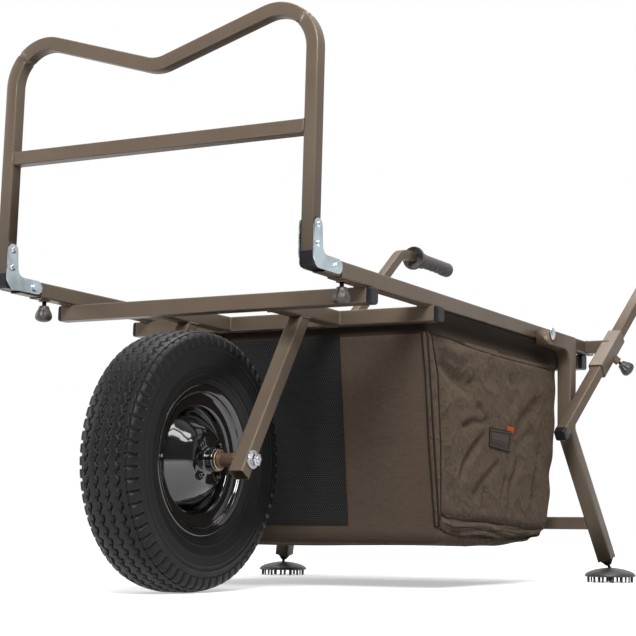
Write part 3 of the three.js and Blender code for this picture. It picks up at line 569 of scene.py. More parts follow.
def add_rim():
    """The rim and its bulging centre, turned in one piece, with four nuts on each side."""
    half = [
        (6.4, 61.8), (14.5, 61.8), (17.2, 60.4), (18, 58), (18, 47.5), (21, 45.8), (28, 45), (38, 43.6),
        (44, 41), (51, 35.6), (59, 27.6), (66, 20), (72, 13.6), (77, 9.6), (80, 9.2), (81.2, 12), (81.6, 19),
        (84, 23.4), (96, 24.6), (100.6, 26.2), (103.4, 28.4), (105, 32.6), (108, 34.4), (112, 35.6),
        (114.4, 36), (116, 35.2), (116, 33.8), (113, 33.4), (107.4, 32.6), (106, 27.4), (103.6, 21.5),
        (96, 20.6), (85.6, 17.6), (84, 14),
    ]
    profile = rounded(half + [(r, -x) for r, x in half[::-1]], 3.0, 4)
    points, faces = lathe(np.vstack([profile, profile[:1]]), 144, AXLE, (1, 0, 0))
    add_mesh("wheel_rim_turned", points, faces, "rim", "wheel", "wheel_rim")
    for tag, side in SIDES:
        for k in range(4):
            angle = math.radians(45 + 90 * k)
            base = (side * 43.6, 33 * math.sin(angle), AXLE[2] + 33 * math.cos(angle))
            add_nut(f"wheel_nut_{tag}_{k}", 6.2, 5.4, base, (side, 0, 0), "rim", "wheel")


def add_nut(name, radius, height, base, direction, look, body):
    """A nut: six flats, chamfered, on a washer, with the bolt's end in it."""
    x, y = side_axes(direction)
    z = unit(direction)
    wide, washer = radius * 1.35, 1.2
    turn = np.radians(np.arange(6) * 60)[:, None]
    levels = ((radius, washer), (radius, height - 1.0), (radius * 0.86, height), (radius * 0.5, height))
    flats = [np.asarray(base, float) + z * rise + size * (np.cos(turn) * x + np.sin(turn) * y)
             for size, rise in levels]
    end = [(radius * 0.56, height - 1), (radius * 0.54, height + 1.6), (radius * 0.44, height + 2.2),
           (0, height + 2.2)]
    points, faces = joined([
        lathe(rounded([(0, 0), (wide, 0), (wide, washer), (0, washer)], 0.3), 32, base, direction),
        (np.concatenate(flats), grid_faces(len(levels), 6, wrap_cols=True)),
        lathe(rounded(end, 0.3), 24, base, direction),
    ])
    add_mesh(name, points, faces, look, body, smooth=False)


def add_axle():
    """The shaft, and on each side a spacer and a hub washer inside the strut, a washer and a nut outside."""
    reach = STRUT_X + 12.9 + 0.3
    for tag, side in SIDES:
        outward = (side, 0, 0)
        seat = (side * reach, 0, AXLE[2])
        add_lathe(f"axle_washer_{tag}", [(5, 0), (14, 0), (14, 1.9), (5, 1.9)], seat, outward,
                  "steel", "frame", 0.5)
        add_nut(f"axle_nut_{tag}", 10.6, 9.4, (side * (reach + 1.9), 0, AXLE[2]), outward, "steel", "frame")
        spacer = [(7, 65.4), (13.2, 65.4), (13.6, 66), (13.6, 67.2), (12.2, 68), (10.6, 68.6), (10.4, 70),
                  (10.4, 95.3), (7, 95.3), (7, 65.4)]
        add_lathe(f"spacer_turned_{tag}", spacer, AXLE, outward, "spacer", "frame", 0.4,
                  f"spacer_{tag}")
        washer = [(7, 62.3), (15.6, 62.3), (16.4, 63), (16.4, 64.6), (15.6, 65.3), (7, 65.3), (7, 62.3)]
        add_lathe(f"hub_washer_{tag}", washer, AXLE, outward, "yellow_zinc", "frame", 0.4)
    shaft = [(0, -reach - 12), (6, -reach - 11.4), (6, reach + 11.4), (0, reach + 12)]
    add_lathe("axle_shaft", shaft, AXLE, (1, 0, 0), "steel", "frame", 0.4, "axle_bolt")


add_tyre()
add_rim()
add_axle()


# Bent tubes with fine bends stand for the stepped ones

# The rack's plane, and the inner face of the plates that hold its posts
RACK_Y = -106.3
PLATE_FACE = 264.0


def add_rack():
    corners = [(x, RACK_Y, z) for x, z in (
        (-RAIL_X, 489), (-RAIL_X, 878), (0, 793.8), (RAIL_X, 878), (RAIL_X, 489))]
    add_tube("rack_hoop_tube", 21.6, corners, [65, 60, 65], "rack", "rack_hoop")
    head = [(0, -0.2), (5.5, -0.2), (5.5, 1.1), (4.6, 2.4), (2.6, 3.2), (0, 3.4)]
    for tag, side in SIDES:
        for n, z in enumerate((499.7, 527.5)):
            add_lathe(f"rivet_{tag}_{n}", head, (side * PLATE_FACE, RACK_Y, z), (-side, 0, 0),
                      "steel", "rack", 0.7, segments=32)


# The handle's line: a point on it, and how far it goes out and up for each millimetre to the rear
HANDLE = np.array((335.0, 809.0, 340.8))
HANDLE_LINE = np.array((0.04, 1.0, 0.785))


def on_handle(y):
    return HANDLE + HANDLE_LINE * (y - HANDLE[1])


def handle_at(z):
    """The place on the handle's line at this height."""
    return on_handle(HANDLE[1] + (z - HANDLE[2]) / HANDLE_LINE[2])


def add_handles():
    bend = handle_at(783)
    for tag, side in SIDES:
        flip = np.array((side, 1, 1))
        corners = [on_handle(736) * flip, bend * flip, np.array((bend[0], 1478, bend[2])) * flip]
        add_tube(f"handle_tube_{tag}", 23, corners, [70], f"handle_{tag}", f"handle_{tag}")
        add_grip(tag, side, bend)


def add_grip(tag, side, bend):
    """A collar, then a barrel with finger hollows under it and fine ribs at its sides."""
    count = 48
    y = np.linspace(1440.0, 1641.0, 150)
    radius = np.where(y < 1447, 30.0, np.where(y < 1452, 30 - (y - 1447) * 1.9, 20.0))
    radius = np.where(y < 1442, 28.5 + (y - 1440) * 0.75, radius)
    barrel = y > 1493
    radius = np.where(barrel, 18.8, radius)
    radius = np.where(y > 1637.5, 18.8 - (y - 1637.5) ** 2 * 0.32, radius)
    turn = circle(count)
    down = np.clip(-np.sin(turn), 0, 1) ** 1.4
    fingers = sum(np.exp(-((y - c) / 10.0) ** 2) for c in (1513.25, 1540.25, 1567.25, 1594.25))
    ribs = 0.35 * np.cos((y - 1493) * 2 * math.pi / 5.0) * (np.abs(np.sin(turn)) < 0.55) * barrel * (y < 1632)
    r = radius - 5.6 * down * fingers * barrel + ribs
    points = np.stack([bend[0] * side + r * np.cos(turn), np.broadcast_to(y, r.shape),
                       bend[2] + r * np.sin(turn)], -1).reshape(-1, 3)
    faces = grid_faces(count, len(y), wrap_rows=True)
    for end in (range(0, len(points), len(y))[::-1], range(len(y) - 1, len(points), len(y))):
        faces.append(list(end))
    add_mesh(f"grip_moulded_{tag}", points, faces, "grip", f"handle_{tag}", f"handle_grip_{tag}")


# The leg's lower bend, the foot's ball, and the open bore that takes the inner tube
LEG_BEND = np.array((305.0, 826.0, 292.0))
FOOT_TOP = np.array((372.5, 889.0, 24.0))
LEG_LINE = unit(FOOT_TOP - LEG_BEND)
LEG_BORE = 25.4
BORE_TOP = 262
LEG_FOOT = 44


def on_leg(height):
    return LEG_BEND + LEG_LINE * (height - LEG_BEND[2]) / LEG_LINE[2]


def leg_head(x):
    """Rings of the leg's top: level, then down, with an elbow sharp outside and round inside."""
    turn = np.linspace(0, math.pi / 2, 15)

    def edge(y, z, radius):
        bend = np.stack([y - radius + radius * np.sin(turn), z - radius + radius * np.cos(turn)], 1)
        return np.vstack([(703, z), bend, (y, 346)])

    rings = []
    for inner, outer in zip(edge(811.5, 448, 32), edge(840.5, 477, 5)):
        middle, across = (inner + outer) / 2, inner - outer
        section = square_section(29, np.linalg.norm(across), 3)
        across = unit(across)
        rings.append(np.stack([x + section[:, 0], middle[0] + section[:, 1] * across[0],
                               middle[1] + section[:, 1] * across[1]], 1))
    return np.concatenate(rings)


def add_legs():
    outer, bore = square_section(29, 29, 3), square_section(LEG_BORE, LEG_BORE, 1.6)
    for tag, side in SIDES:
        flip = np.array((side, 1, 1))
        corners = [c * flip for c in (np.array((LEG_BEND[0], LEG_BEND[1], 345)), LEG_BEND, on_leg(LEG_FOOT))]
        lower, _ = sweep(outer, bent_path(corners, [40]))
        x, y = side_axes(LEG_LINE * flip)
        inside = [on_leg(z) * flip + bore[:, :1] * x + bore[:, 1:] * y for z in (LEG_FOOT, BORE_TOP)]
        points = np.concatenate([leg_head(LEG_BEND[0] * side), lower, *inside])
        rows = len(points) // len(outer)
        faces = grid_faces(rows, len(outer), wrap_cols=True) + end_faces(rows, len(outer))
        add_mesh(f"leg_tube_{tag}", points, faces, "bronze", "legs", f"leg_{tag}")
        add_foot(tag, side)


def add_foot(tag, side):
    """A shallow dome with a socket for the leg's ball, on three rings of spikes."""
    centre = FOOT_TOP * (side, 1, 0)
    dome = [(0, 10.6), (46, 10.6), (49.4, 11), (50, 12.6), (49.4, 15), (46, 18.2), (39, 21.8), (29, 24.8),
            (18, 26.8), (12.4, 27.6), (11, 28), (9, 27.6), (7.6, 24), (0, 19)]
    parts = [lathe(rounded(dome, 1.2, 3), 72, centre, (0, 0, 1))]
    thick = 1.8
    spike = [(0, 0), (thick * 0.6, 0), (thick * 0.8, 1), (thick, 12.5), (0, 12.5)]
    for radius, count in ((43.5, 14), (30, 8), (15, 4)):
        for k in range(count):
            angle = 2 * math.pi * (k + 0.5) / count
            place = centre + (radius * math.cos(angle), radius * math.sin(angle), 0)
            parts.append(lathe(spike, 10, place, (0, 0, 1)))
    points, faces = joined(parts)
    add_mesh(f"foot_dome_{tag}", points, faces, "foot", f"foot_{tag}", f"foot_{tag}")


add_rack()
add_handles()
add_legs()


# Lock knobs

def add_knob(kind, tag, base, direction, radius, length, neck):
    """A bare screw as long as the neck, then six lobes that widen to a rounded end."""
    count, rows = 72, 44
    x, y = side_axes(direction)
    z = unit(direction)
    head = length - neck
    shares = ((0.50, 0), (0.57, 0.02), (0.61, 0.08), (0.70, 0.22), (0.84, 0.36), (0.95, 0.50), (1, 0.62),
              (0.99, 0.72), (0.91, 0.83), (0.72, 0.92), (0.42, 0.98), (0, 1))
    p = smooth_line([(a * radius, neck + b * head) for a, b in shares], rows)
    p = np.vstack([(0, -3.8), (3.4, -3.8), (3.4, neck), p])
    p[-1, 0] = 0
    turn = circle(count)
    along = np.clip((p[:, 1] - neck) / head, 0, 1)
    lobed = ease(along, 0.02, 0.3) * (1 - ease(along, 0.85, 1))
    r = np.clip(p[:, 0] * (1 - 0.10 * lobed * np.clip(np.cos(6 * turn), 0, 1) ** 0.7), 0, None)
    ring = np.cos(turn)[..., None] * x + np.sin(turn)[..., None] * y
    points = (np.asarray(base, float) + r[..., None] * ring + p[:, 1:] * z).reshape(-1, 3)
    faces = grid_faces(count, len(p), wrap_rows=True)
    add_mesh(f"{kind}_head_{tag}", points, faces, "knob", f"{kind}_{tag}", f"{kind}_{tag}")


def add_knobs():
    turn, across = 0.86, unit((0, HANDLE_LINE[2], -1))
    for tag, side in SIDES:
        add_knob("rail_knob", tag, (side * RAIL_X, -14, 458.6), (0, 0, -1), 13.4, 33, 6.9)
        out = np.array((side * math.cos(turn), 0, 0)) + across * math.sin(turn)
        add_knob("handle_knob", tag, on_handle(960) * (side, 1, 1) + out * 30, out, 14.5, 34, 6)


add_knobs()


# Welds

def add_weld(name, start, end, body, radius=1.9):
    """A rippled bead along a joint."""
    start, end = np.asarray(start, float), np.asarray(end, float)
    length = np.linalg.norm(end - start)
    count = max(8, int(length / 0.7))
    t = np.linspace(0, 1, count)[:, None]
    ripple = 1 + 0.16 * np.cos(t[:, 0] * length * 2 * math.pi / 3.0)
    ends = np.sqrt(np.clip(1 - (2 * t[:, 0] - 1) ** 8, 0.05, 1))
    add_cord_line(name, start + (end - start) * t, radius * ripple * ends, "bronze", body)


def add_welds():
    ends = (("a", 1), ("b", -1))
    for tag, s in SIDES:
        strut, inner, flip = s * STRUT_X, s * (RAIL_X - 10.8), (s, 1, 1)
        for n, y in enumerate((53.5 + 12.8, 264.5 - 12.8)):
            for letter, side in ends:
                x = strut + side * 12.8
                add_weld(f"weld_fork_{tag}_{n}_{letter}", (x, y, 437), (x, y, 459), "frame")
            add_weld(f"weld_fork_under_{tag}_{n}", (strut - 11.5, y, 435.2), (strut + 11.5, y, 435.2),
                     "frame")
        for letter, side in ends:
            x = strut + side * 12.9
            add_weld(f"weld_strut_{tag}_{letter}", (x, 132, 434.9), (x, 158, 434.9), "frame")
        for n, z in enumerate((673.2 - 10.8, 673.2 + 10.8)):
            add_weld(f"weld_bar_{tag}_{n}", (inner, -115.6, z), (inner, -97, z), "rack", 1.6)
        add_weld(f"weld_bar_front_{tag}", (inner, -117.1, 664), (inner, -117.1, 682.4), "rack", 1.6)
        for n, y in enumerate((53.5, 264.5)):
            for letter, side in ends:
                edge = y + side * 12.8
                add_weld(f"weld_rail_{tag}_{n}_{letter}", (s * 266, edge, 460.9), (s * 288.5, edge, 460.9),
                         "frame", 1.5)
        low = on_leg(113.5) * flip
        face, y = low[0] - s * 15.4, low[1] - 12.2
        add_weld(f"weld_leg_bar_{tag}", (face, y, 102.5), (face - s * 6, y, 124.5), "legs", 1.7)
        y = handle_at(473.9)[1]
        for n, z in enumerate((461.4, 486.4)):
            add_weld(f"weld_stub_{tag}_{n}", (s * 291.2, y - 11, z), (s * 291.2, y + 11, z), "frame", 1.7)


add_welds()


# Bag: a rounded shell that narrows upward, sags at the base and creases where it is drawn in

def waves(points, seed, low, high):
    """Smooth uneven values, the sum of waves in random directions, seeded so that each run is the same."""
    count = 10
    rng = np.random.default_rng(seed)
    total = np.zeros(len(points))
    for _ in range(count):
        way = unit(rng.normal(size=3)) * rng.uniform(low, high)
        total += np.sin(points @ way + rng.uniform(0, 2 * math.pi)) / math.sqrt(count / 2)
    return total


def front_y(z):
    return 306 - (306 - 268) * np.clip((z - 84) / (416 - 84), 0, 1) + 10 * ease(z, 416, 440)


def rear_y(z):
    return np.interp(z, (90, 118, 156, 195, 235, 274, 351, 405, 430, 460),
                     (764, 779, 789, 804, 819, 829, 832, 834, 836, 836))


def low_z(y):
    """The sagging base, which rises to the rounded rear corner."""
    return np.interp(y, (270, 300, 370, 445, 572, 664, 718, 748, 776),
                     (79, 75.5, 71, 68.6, 69.2, 72, 77.5, 85, 99))


def half_x(z):
    return 288 - 10 * np.clip((z - 67) / (416 - 67), 0, 1) - 14 * ease(z, 412, 438) + 21 * ease(z, 440, 460)


def corner_strip(z):
    """The front corner's rolls at each height: the x where they start in front, the y where they end."""
    return np.interp(z, (105, 227, 350, 427), (279, 273.3, 271.1, 266.5)), np.interp(
        z, (95, 127, 228, 352, 421), (302, 308.2, 312.5, 304.2, 280.2))


BAG_TOP = 460.7
# Half the bag's width, length and height before it is tapered
BAG_HALF = np.array((288.0, 256.0, 195.0))

# The mesh panel on the front: its top and foot, half its width at the top, and how much that grows
MESH_TOP, MESH_LOW, MESH_HALF, MESH_GROWTH = 422, 105, 111.3, 4.2

# Folds of the side panels: places in y and z along each, its width, and how far it stands out
SIDE_FOLDS = (
    (((300, 404), (370, 394), (430, 396)), 11, 2.4), (((298, 378), (350, 356), (410, 338)), 13, -3.6),
    (((396, 360), (450, 378), (515, 406)), 13, 3.2), (((483, 407), (426, 362), (402, 318)), 9, -2.4),
    (((378, 282), (428, 298), (486, 295)), 7, 2.4), (((385, 270), (432, 284), (480, 282)), 7, -2.0),
    (((438, 313), (470, 300), (491, 282)), 8, -2.6),
    (((377, 173), (402, 210), (435, 239), (480, 268)), 8, -3.2),
    (((395, 165), (425, 200), (462, 232)), 9, 2.6), (((441, 213), (470, 230), (500, 246)), 8, 2.4),
    (((430, 150), (472, 182), (547, 223)), 10, -3.0),
    (((582, 122), (593, 180), (621, 208), (640, 240)), 9, -3.0),
    (((600, 120), (615, 170), (650, 205)), 9, 2.6), (((548, 140), (556, 170), (572, 200)), 8, -2.2),
    (((474, 128), (480, 150), (486, 176)), 8, -2.2), (((496, 126), (504, 156), (520, 186)), 8, 2.0),
    (((600, 262), (660, 306), (733, 346)), 15, -3.0), (((590, 286), (640, 330), (690, 372)), 16, 2.6),
    (((614, 240), (650, 262), (697, 286)), 12, -2.2), (((700, 140), (712, 200), (738, 262)), 14, -3.0),
    (((660, 120), (672, 180), (700, 240)), 12, 2.4), (((520, 402), (580, 376), (600, 330)), 16, 2.2),
    (((548, 392), (612, 360), (640, 300)), 14, -2.4), (((330, 330), (346, 250), (352, 170)), 14, 2.0),
    (((318, 300), (326, 230), (340, 140)), 9, -2.0),
)
# The seams at the foot of the door and of the band below it, as y and z
DOOR_FOOT = ((311, 124), (330, 119.5), (359, 117), (485, 113), (606, 107), (700, 101.7), (742, 104))
BAND_FOOT = ((313, 99), (324, 95), (345, 92), (475, 85.4), (606, 81), (690, 84), (730, 90))


def line_distance(y, z, line):
    """How far each place lies from a line through the given ones, and its share of the way along."""
    line = np.asarray(line, float)
    steps = np.linalg.norm(np.diff(line, axis=0), axis=1)
    gone = np.concatenate([[0], np.cumsum(steps)])
    best, share = np.full(len(y), 1e9), np.zeros(len(y))
    for a, b, length, start in zip(line[:-1], line[1:], steps, gone):
        t = np.clip(((y - a[0]) * (b[0] - a[0]) + (z - a[1]) * (b[1] - a[1])) / length ** 2, 0, 1)
        far = np.hypot(y - a[0] - t * (b[0] - a[0]), z - a[1] - t * (b[1] - a[1]))
        share = np.where(far < best, (start + t * length) / gone[-1], share)
        best = np.minimum(best, far)
    return best, share


def box_surface(step):
    """Points over the faces of a box 2 x 1 x 1, as one closed grid mesh."""
    counts = [int(round(size / step)) for size in (576, 530, 390)]
    index, points, faces = {}, [], []

    def at(place):
        if place not in index:
            index[place] = len(points)
            i, j, k = (part / count for part, count in zip(place, counts))
            points.append((2 * i - 1, j, k))
        return index[place]

    for axis in (2, 1, 0):
        a, b = (k for k in range(3) if k != axis)
        for first, second in np.ndindex(counts[a], counts[b]):
            for end in (0, counts[axis]):
                quad = []
                for over, up in ((0, 0), (1, 0), (1, 1), (0, 1)):
                    place = [end] * 3
                    place[a], place[b] = first + over, second + up
                    quad.append(tuple(place))
                # every face is the same way round, seen from outside
                if (end == 0) == (axis != 1):
                    quad = [quad[0], *quad[:0:-1]]
                faces.append([at(place) for place in quad])
    return np.array(points), faces


def bag_form(share):
    """Bag points in millimetres from box shares, with rounded edges, tapers and sag but no creases."""
    half = BAG_HALF
    p = (share * (1, 2, 2) - (0, 1, 1)) * half
    core = half - 20.0
    q = np.clip(p, -core, (core[0], core[1], half[2]))
    d = p - q
    size = np.linalg.norm(d, axis=1, keepdims=True)
    far = np.max(np.abs(d), axis=1, keepdims=True)
    p = np.where(size > 1e-6, q + d / np.maximum(size, 1e-6) * far, p)
    across = p[:, 0] / half[0]
    along, up = ((p[:, k] / half[k] + 1) / 2 for k in (1, 2))
    low = low_z(306 + along * 470)
    z = low + up * (BAG_TOP - low)
    x = across * half_x(z)
    y = front_y(z) + along * (rear_y(z) - front_y(z))
    over = np.clip(np.abs(x) - half_x(z) + 8 - (y - front_y(z)), 0, None) / 2
    x = x - np.sign(x) * over
    y = y + over
    flare = np.clip(289.5 - np.abs(x), 0, None) * ease(y, 730, 790) * ease(z, 402, 425)
    x = x + np.sign(x) * flare * (np.abs(across) > 0.9)
    return np.stack([x, y, z], 1)


def add_bag():
    """The bag's cloth: its form with folds, seams and gathers pushed out along its faces."""
    share, faces = box_surface(3.6)
    p = bag_form(share)
    x, y, z = p.T
    last = corner_strip(z)[1]
    side = ease(np.abs(x), 262, 277) * ease(y, front_y(z) + 4, front_y(z) + 14)
    front = (1 - ease(y, 300, 330)) * (1 - side)
    base = 1 - ease(z, 80, 110)
    rear = ease(y, 770, 800)
    foot = np.interp(y, *zip(*DOOR_FOOT))
    panel = side * ease(z, foot, foot + 14) * (1 - ease(z, 404, 414)) * ease(y, last + 1, last + 18)
    push = panel * (3.0 + 3.0 * ease(y, 330, 430) * (1 - ease(y, 720, 800)) * ease(z, 120, 220))
    for line, width, height in SIDE_FOLDS:
        far, way = line_distance(y, z, line)
        push += 2.6 * panel * height * np.exp(-(far / width) ** 2) * np.clip(8 * way * (1 - way), 0, 1)
    small = waves(p, 9, 0.05, 0.11)
    push += panel * (1.8 * waves(p * (1, 1, 0.7), 5, 0.014, 0.035) + 0.7 * small)
    # the band under the door, gathered between its two seams
    band = side * (1 - ease(z, foot - 3, foot + 2)) * ease(z, foot - 34, foot - 24)
    push += band * (2.0 + 2.2 * np.sin((z - foot) * 0.42 + 0.9 * waves(p * (0.2, 1, 0.2), 15, 0.02, 0.05)))
    for line in (DOOR_FOOT, BAND_FOOT):
        push -= side * (3.2 * np.exp(-(line_distance(y, z, line)[0] / 3.4) ** 2))
    push += front * (1.6 * waves(p * (1, 1, 0.35), 21, 0.01, 0.03) + 0.3 * small)
    push += base * (2.2 * waves(p * (0.5, 1.2, 1), 31, 0.012, 0.035) - 0.5)
    push += rear * (1 - base) * (2.2 * waves(p, 41, 0.012, 0.03) + 0.4 * small)
    push *= 1 - ease(z, 425, 445)
    out = np.stack([np.sign(x) * side, -front + rear, -base], 1)
    size = np.linalg.norm(out, axis=1, keepdims=True)
    p = p + np.where(size > 0.05, out / np.maximum(size, 0.05), 0) * push[:, None]
    p[:, 0] = np.clip(p[:, 0], -289.8, 289.8)
    p[:, 2] = np.clip(p[:, 2], 66, BAG_TOP)
    obj = add_mesh("bag_shell", p, faces, "cloth", "frame", "bag")
    for look in ("mesh", "hem_painted_shade", "front_cloth_painted_shade"):
        obj.data.materials.append(looks[look])
    mids = placed_mids(obj)
    kinds = np.zeros(len(mids), int)
    facing = mids[:, 1] < 318
    # The front between the corner rolls takes the front cloth, a little darker as painted shade.
    kinds[facing & (np.abs(mids[:, 0]) < corner_strip(mids[:, 2])[0])] = 3
    kinds[facing & (np.abs(mids[:, 0]) < mesh_edge(mids[:, 2])) & (mids[:, 2] > MESH_LOW - 1)] = 1
    # Faces above z 419 take the hem cloth, made darker as painted shade under the rails.
    kinds[mids[:, 2] > 419] = 2
    obj.data.polygons.foreach_set("material_index", kinds)
    flatten(obj)
    return p


def mesh_edge(z):
    return MESH_HALF + (MESH_TOP - z) / (MESH_TOP - MESH_LOW) * MESH_GROWTH


def flatten(obj):
    """Gives the object its own copy of its mesh."""
    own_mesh(obj)


def add_trim(name, points, faces, look="cloth"):
    flatten(add_mesh(name, points, faces, look, "frame"))


def add_trim_line(name, points, radius):
    flatten(add_cord_line(name, points, radius, "trim", "frame"))


def placed_mids(obj):
    """Face centres in working millimetres."""
    mids = np.empty(len(obj.data.polygons) * 3, np.float32)
    obj.data.polygons.foreach_get("center", mids)
    return mids.reshape(-1, 3) * 1000 - (0, SHIFT, 0)


bag_points = add_bag()


def on_bag(places, axis, lift):
    """Lays places on the bag's near side (axis 0, given as y and z) or front (axis 1, given as x and z)."""
    flat = [k for k in range(3) if k != axis]
    face = bag_points[:, 0] > 255 if axis == 0 else bag_points[:, 1] < 322
    near = bag_points[face]
    out = []
    for place in np.asarray(places, float):
        far = np.sum((near[:, flat] - place) ** 2, 1)
        close = np.argsort(far)[:4]
        weight = 1 / (far[close] + 0.5)
        level = near[close, axis] @ weight / weight.sum()
        out.append(np.insert(place, axis, level + (lift if axis == 0 else -lift)))
    return np.array(out)


def add_side_lines(name, points, radius):
    for tag, side in SIDES:
        add_trim_line(f"{name}_{tag}", points * (side, 1, 1), radius)


def add_corner_rolls():
    """Two rolls of cloth down each front corner, with a dark seam beside and between them."""
    z = np.linspace(MESH_TOP, MESH_LOW - 1, 100)
    first, last = corner_strip(z)
    edge, front = half_x(z), front_y(z)
    turn = circle(20)
    sway = 0.5 * np.sin(z / 31) + 0.3 * np.sin(z / 13)
    rolls = (((first + edge) / 2, front + 3.2 + sway, (edge - first) / 2 - 0.4, 3.6 + 0 * z),
             (edge - 2.4, (front + last) / 2 + 2.2, 3.6 + 0.3 * sway, (last - front) / 2 - 1.2))
    for n, (x, y, wide, deep) in enumerate(rolls):
        rings = np.stack([x + wide * np.cos(turn), y + deep * np.sin(turn), z + 0 * turn], -1)
        points = rings.transpose(1, 0, 2).reshape(-1, 3)
        faces = grid_faces(len(z), 20, wrap_cols=True) + [face[::-1] for face in end_faces(len(z), 20)]
        for tag, side in SIDES:
            add_trim(f"corner_roll_{n}_{tag}", points * (side, 1, 1), faces)
    seams = ((first + 0.2, front + 0.2, 1.6), (edge - 0.4, front + 1.4, 1.9), (edge - 0.6, last + 0.8, 2.4))
    for n, (x, y, size) in enumerate(seams):
        add_side_lines(f"corner_seam_{n}", np.stack([x, y, z], 1), size)


def add_side_seams():
    """Seams round the door and the band under it on both sides, and along the mesh panel in front."""
    door = smooth_line([(308.5, 150), (309, 140), (313, 128), *DOOR_FOOT[1:]], 150)
    add_side_lines("door_seam", on_bag(door, 0, 0.7), 1.8)
    add_side_lines("band_seam", on_bag(smooth_line(BAND_FOOT, 130), 0, 0.6), 1.5)
    # A dark line sunk along the middle of the band is painted shade in its fold.
    y = np.linspace(322, 686, 110)
    z = (np.interp(y, *zip(*DOOR_FOOT)) + np.interp(y, *zip(*BAND_FOOT))) / 2 + 1.5 * np.sin(y / 21)
    add_side_lines("band_fold_painted_shade", on_bag(np.stack([y, z], 1), 0, -0.2), 1.0)
    top = smooth_line([(272, 417), (341, 419), (462, 411), (641, 409), (790, 409)], 120)
    add_side_lines("panel_top_seam", on_bag(top, 0, 0.2), 1.3)
    z = np.linspace(MESH_TOP, MESH_LOW, 90)
    for tag, side in SIDES:
        add_trim_line(f"mesh_rim_{tag}", on_bag(np.stack([side * mesh_edge(z), z], 1), 1, 0.3), 1.1)
    foot = [(x, MESH_LOW - 0.5) for x in np.linspace(-115, 115, 70)]
    add_trim_line("mesh_foot", on_bag(foot, 1, 0.3), 1.2)


def shares(rows, cols):
    """Shares across and down at each point of a grid, as two columns."""
    v, u = np.meshgrid(np.linspace(0, 1, rows), np.linspace(0, 1, cols), indexing="ij")
    return u.reshape(-1, 1), v.reshape(-1, 1)


def add_patch():
    """A bare moulded patch with a thick edge and raised lines, sewn to the near side, and a small tab."""
    corners = np.array(((493.5, 276.3), (588.3, 275.2), (580.0, 238.5), (492.2, 244.6)))

    def on_patch(u, v):
        return (corners[0] * (1 - u) + corners[1] * u) * (1 - v) + (corners[3] * (1 - u) + corners[2] * u) * v

    rows, cols = 26, 52
    u, v = shares(rows, cols)
    surface = on_bag(on_patch(u, v), 0, 0)
    edge = np.minimum(np.minimum(u, 1 - u) * 92, np.minimum(v, 1 - v) * 34)[:, 0]
    rise = 2.2 * ease(edge, 0, 1.6) - 0.9 * ease(edge, 3.0, 4.4)
    rise += 0.8 * np.exp(-((v[:, 0] - 0.62) * 34) ** 2) * ease(edge, 4, 6)
    level = (surface[:, 0].mean() + surface[:, 0]) / 2
    surface[:, 0] = level + rise
    add_trim("patch_moulded", surface, grid_faces(rows, cols), "patch")
    around = np.linspace(0, 1, 30)[:, None]
    loop = np.concatenate([corners[k] * (1 - around) + corners[(k + 1) % 4] * around for k in range(4)])
    add_trim_line("patch_edge", on_bag(loop, 0, 0.6), 1.7)
    middle = corners.mean(0)
    across = np.linspace(0.08, 0.92, 30)[:, None]
    lines = [middle + (loop - middle) * (0.88, 0.72)] + [on_patch(across, v) for v in (0.60, 0.74)]
    for n, line in enumerate(lines):
        on_top = on_bag(line, 0, 0)
        on_top[:, 0] = level.mean() + 1.5
        add_trim_line(f"patch_line_{n}", on_top, 0.75)
    rows, cols = 10, 16
    u, v = shares(rows, cols)
    tab = on_bag(np.hstack([566 + 33 * u, 284.5 - 11 * v]), 0, 0)
    tab[:, 0] = tab[:, 0].mean() + 2.0 + np.sin(v[:, 0] * math.pi)
    add_trim("tab_cloth", tab, grid_faces(rows, cols), "tab")


def add_puller(name, place, length, width, lean, look):
    """A zip slider with a flat pull on it: a rounded plate with a slot, hanging down."""
    place = np.asarray(place, float)
    turn = circle(40)[:, 0]
    high = np.sign(np.sin(turn)) * np.abs(np.sin(turn)) ** 0.5
    outer = np.stack([width / 2 * np.cos(turn), length / 2 * high], 1)
    inner = outer * (0.52, 0.62) + (0, length * 0.06)
    loops = ((outer * 0.97, 1.1), (outer, 0.6), (outer, -0.6), (outer * 0.97, -1.1), (inner, -1.1),
             (inner, 1.1))
    rings = [np.stack([ring[:, 0] * lean[1] + out * lean[0], -ring[:, 0] * lean[0] + out * lean[1],
                       ring[:, 1] - length / 2 - 3], 1) for ring, out in loops]
    faces = grid_faces(len(loops), len(turn), True, True)
    add_trim(f"{name}_pull", place + np.concatenate(rings), faces, look)
    slider = [(0, 0), (3.2, 0), (4.0, 1.2), (4.0, 5.6), (2.6, 7), (0, 7)]
    body, faces = lathe(rounded(slider), 20, (0, 0, -4), (0, 0, 1))
    add_trim(f"{name}_slider", body * (0.9, 0.9, 1.3) + place, faces, look)


add_corner_rolls()
add_side_seams()
add_patch()
add_puller("front_zip", (31, 279, 402), 21, 9, (0, 1), "steel")
add_puller("rear_zip", (287, 836, 366), 54, 6.4, (0.7, 0.7), "zip")


# Floor, light and sky

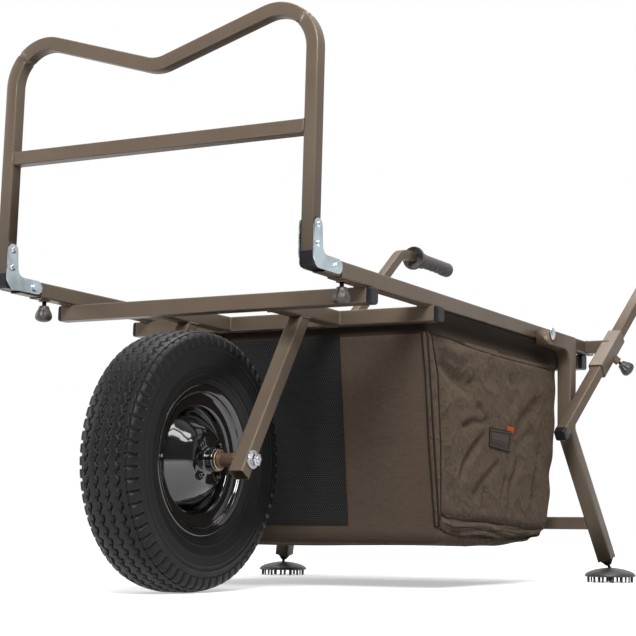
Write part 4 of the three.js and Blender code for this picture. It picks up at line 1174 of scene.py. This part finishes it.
def add_floor():
    """A pale floor that glows more with distance. Only the background's rays see it so bright."""
    look = Look("floor_pale")
    look.surface(Base_Color=(0.24, 0.24, 0.24), Roughness=0.85, Specular_IOR_Level=0.0)
    away = look.vector("LENGTH", look.coords)["Value"]
    seen = look.node("ShaderNodeBsdfDiffuse", Color=(0.72, 0.72, 0.72))[0]
    strength = look.range(away, 0.9, 4.0, 0.47, 0.98)
    glow = look.node("ShaderNodeEmission", Color=(1, 1, 1), Strength=strength)[0]
    both = look.node("ShaderNodeAddShader", seen, glow)[0]
    mixed = look.mix_shaders(look.background_rays(), look.bsdf.outputs[0], both)
    look.put(look.out.inputs["Surface"], mixed)
    mesh = bpy.data.meshes.new("floor")
    mesh.from_pydata([(-40, -40, 0), (40, -40, 0), (40, 90, 0), (-40, 90, 0)], [], [(0, 1, 2, 3)])
    mesh.materials.append(look.mat)
    add_object("floor", mesh)


def add_world():
    """White where the background is seen. Its gloss is bright behind the object, dim behind the camera."""
    world = bpy.data.worlds.new("studio")
    bpy.context.scene.world = world
    world.use_nodes = True
    sky = Nodes(world.node_tree)
    back = world.node_tree.nodes["Background"]
    sky.put(back.inputs["Color"], (1, 1, 1))
    sky.put(back.inputs["Strength"], 0.16)
    way = sky.node("ShaderNodeTexCoord")["Generated"]
    level = sky.range(sky.vector("DOT_PRODUCT", way, (-0.3, 0.95, 0))["Value"], -0.25, 0.45, 0.14, 1.0)
    strength = sky.math("MAXIMUM", sky.node("ShaderNodeLightPath")["Is Camera Ray"], level)
    white = sky.node("ShaderNodeBackground", Color=(1, 1, 1), Strength=strength)[0]
    mixed = sky.mix_shaders(sky.background_rays(), back.outputs[0], white)
    sky.put(world.node_tree.nodes["World Output"].inputs["Surface"], mixed)


# Each lamp's name, place, target, size and power, in metres and watts
LAMPS = (
    ("key", (1.4, -3.1, 2.3), (0, -0.2, 0.35), (1.3, 1.3), 150),
    ("side", (2.2, -1.2, 2.9), (0, -0.3, 0.35), (1.2, 1.2), 38),
    ("left", (-3.6, -2.0, 1.5), (0, -0.3, 0.4), (2.0, 2.2), 60),
    ("top", (-0.4, 0.4, 4.2), (0, 0.2, 0), (2.6, 2.6), 130),
)


def add_lamps():
    for name, place, target, size, power in LAMPS:
        data = bpy.data.lights.new(name, "AREA")
        data.shape = "RECTANGLE"
        data.size, data.size_y = size
        data.energy = power
        light = add_object(name, data)
        light.location = place
        light.rotation_mode = "QUATERNION"
        light.rotation_quaternion = (Vector(target) - Vector(place)).to_track_quat("-Z", "Y")


add_floor()
add_world()
add_lamps()
bpy.context.scene.view_settings.view_transform = "Standard"
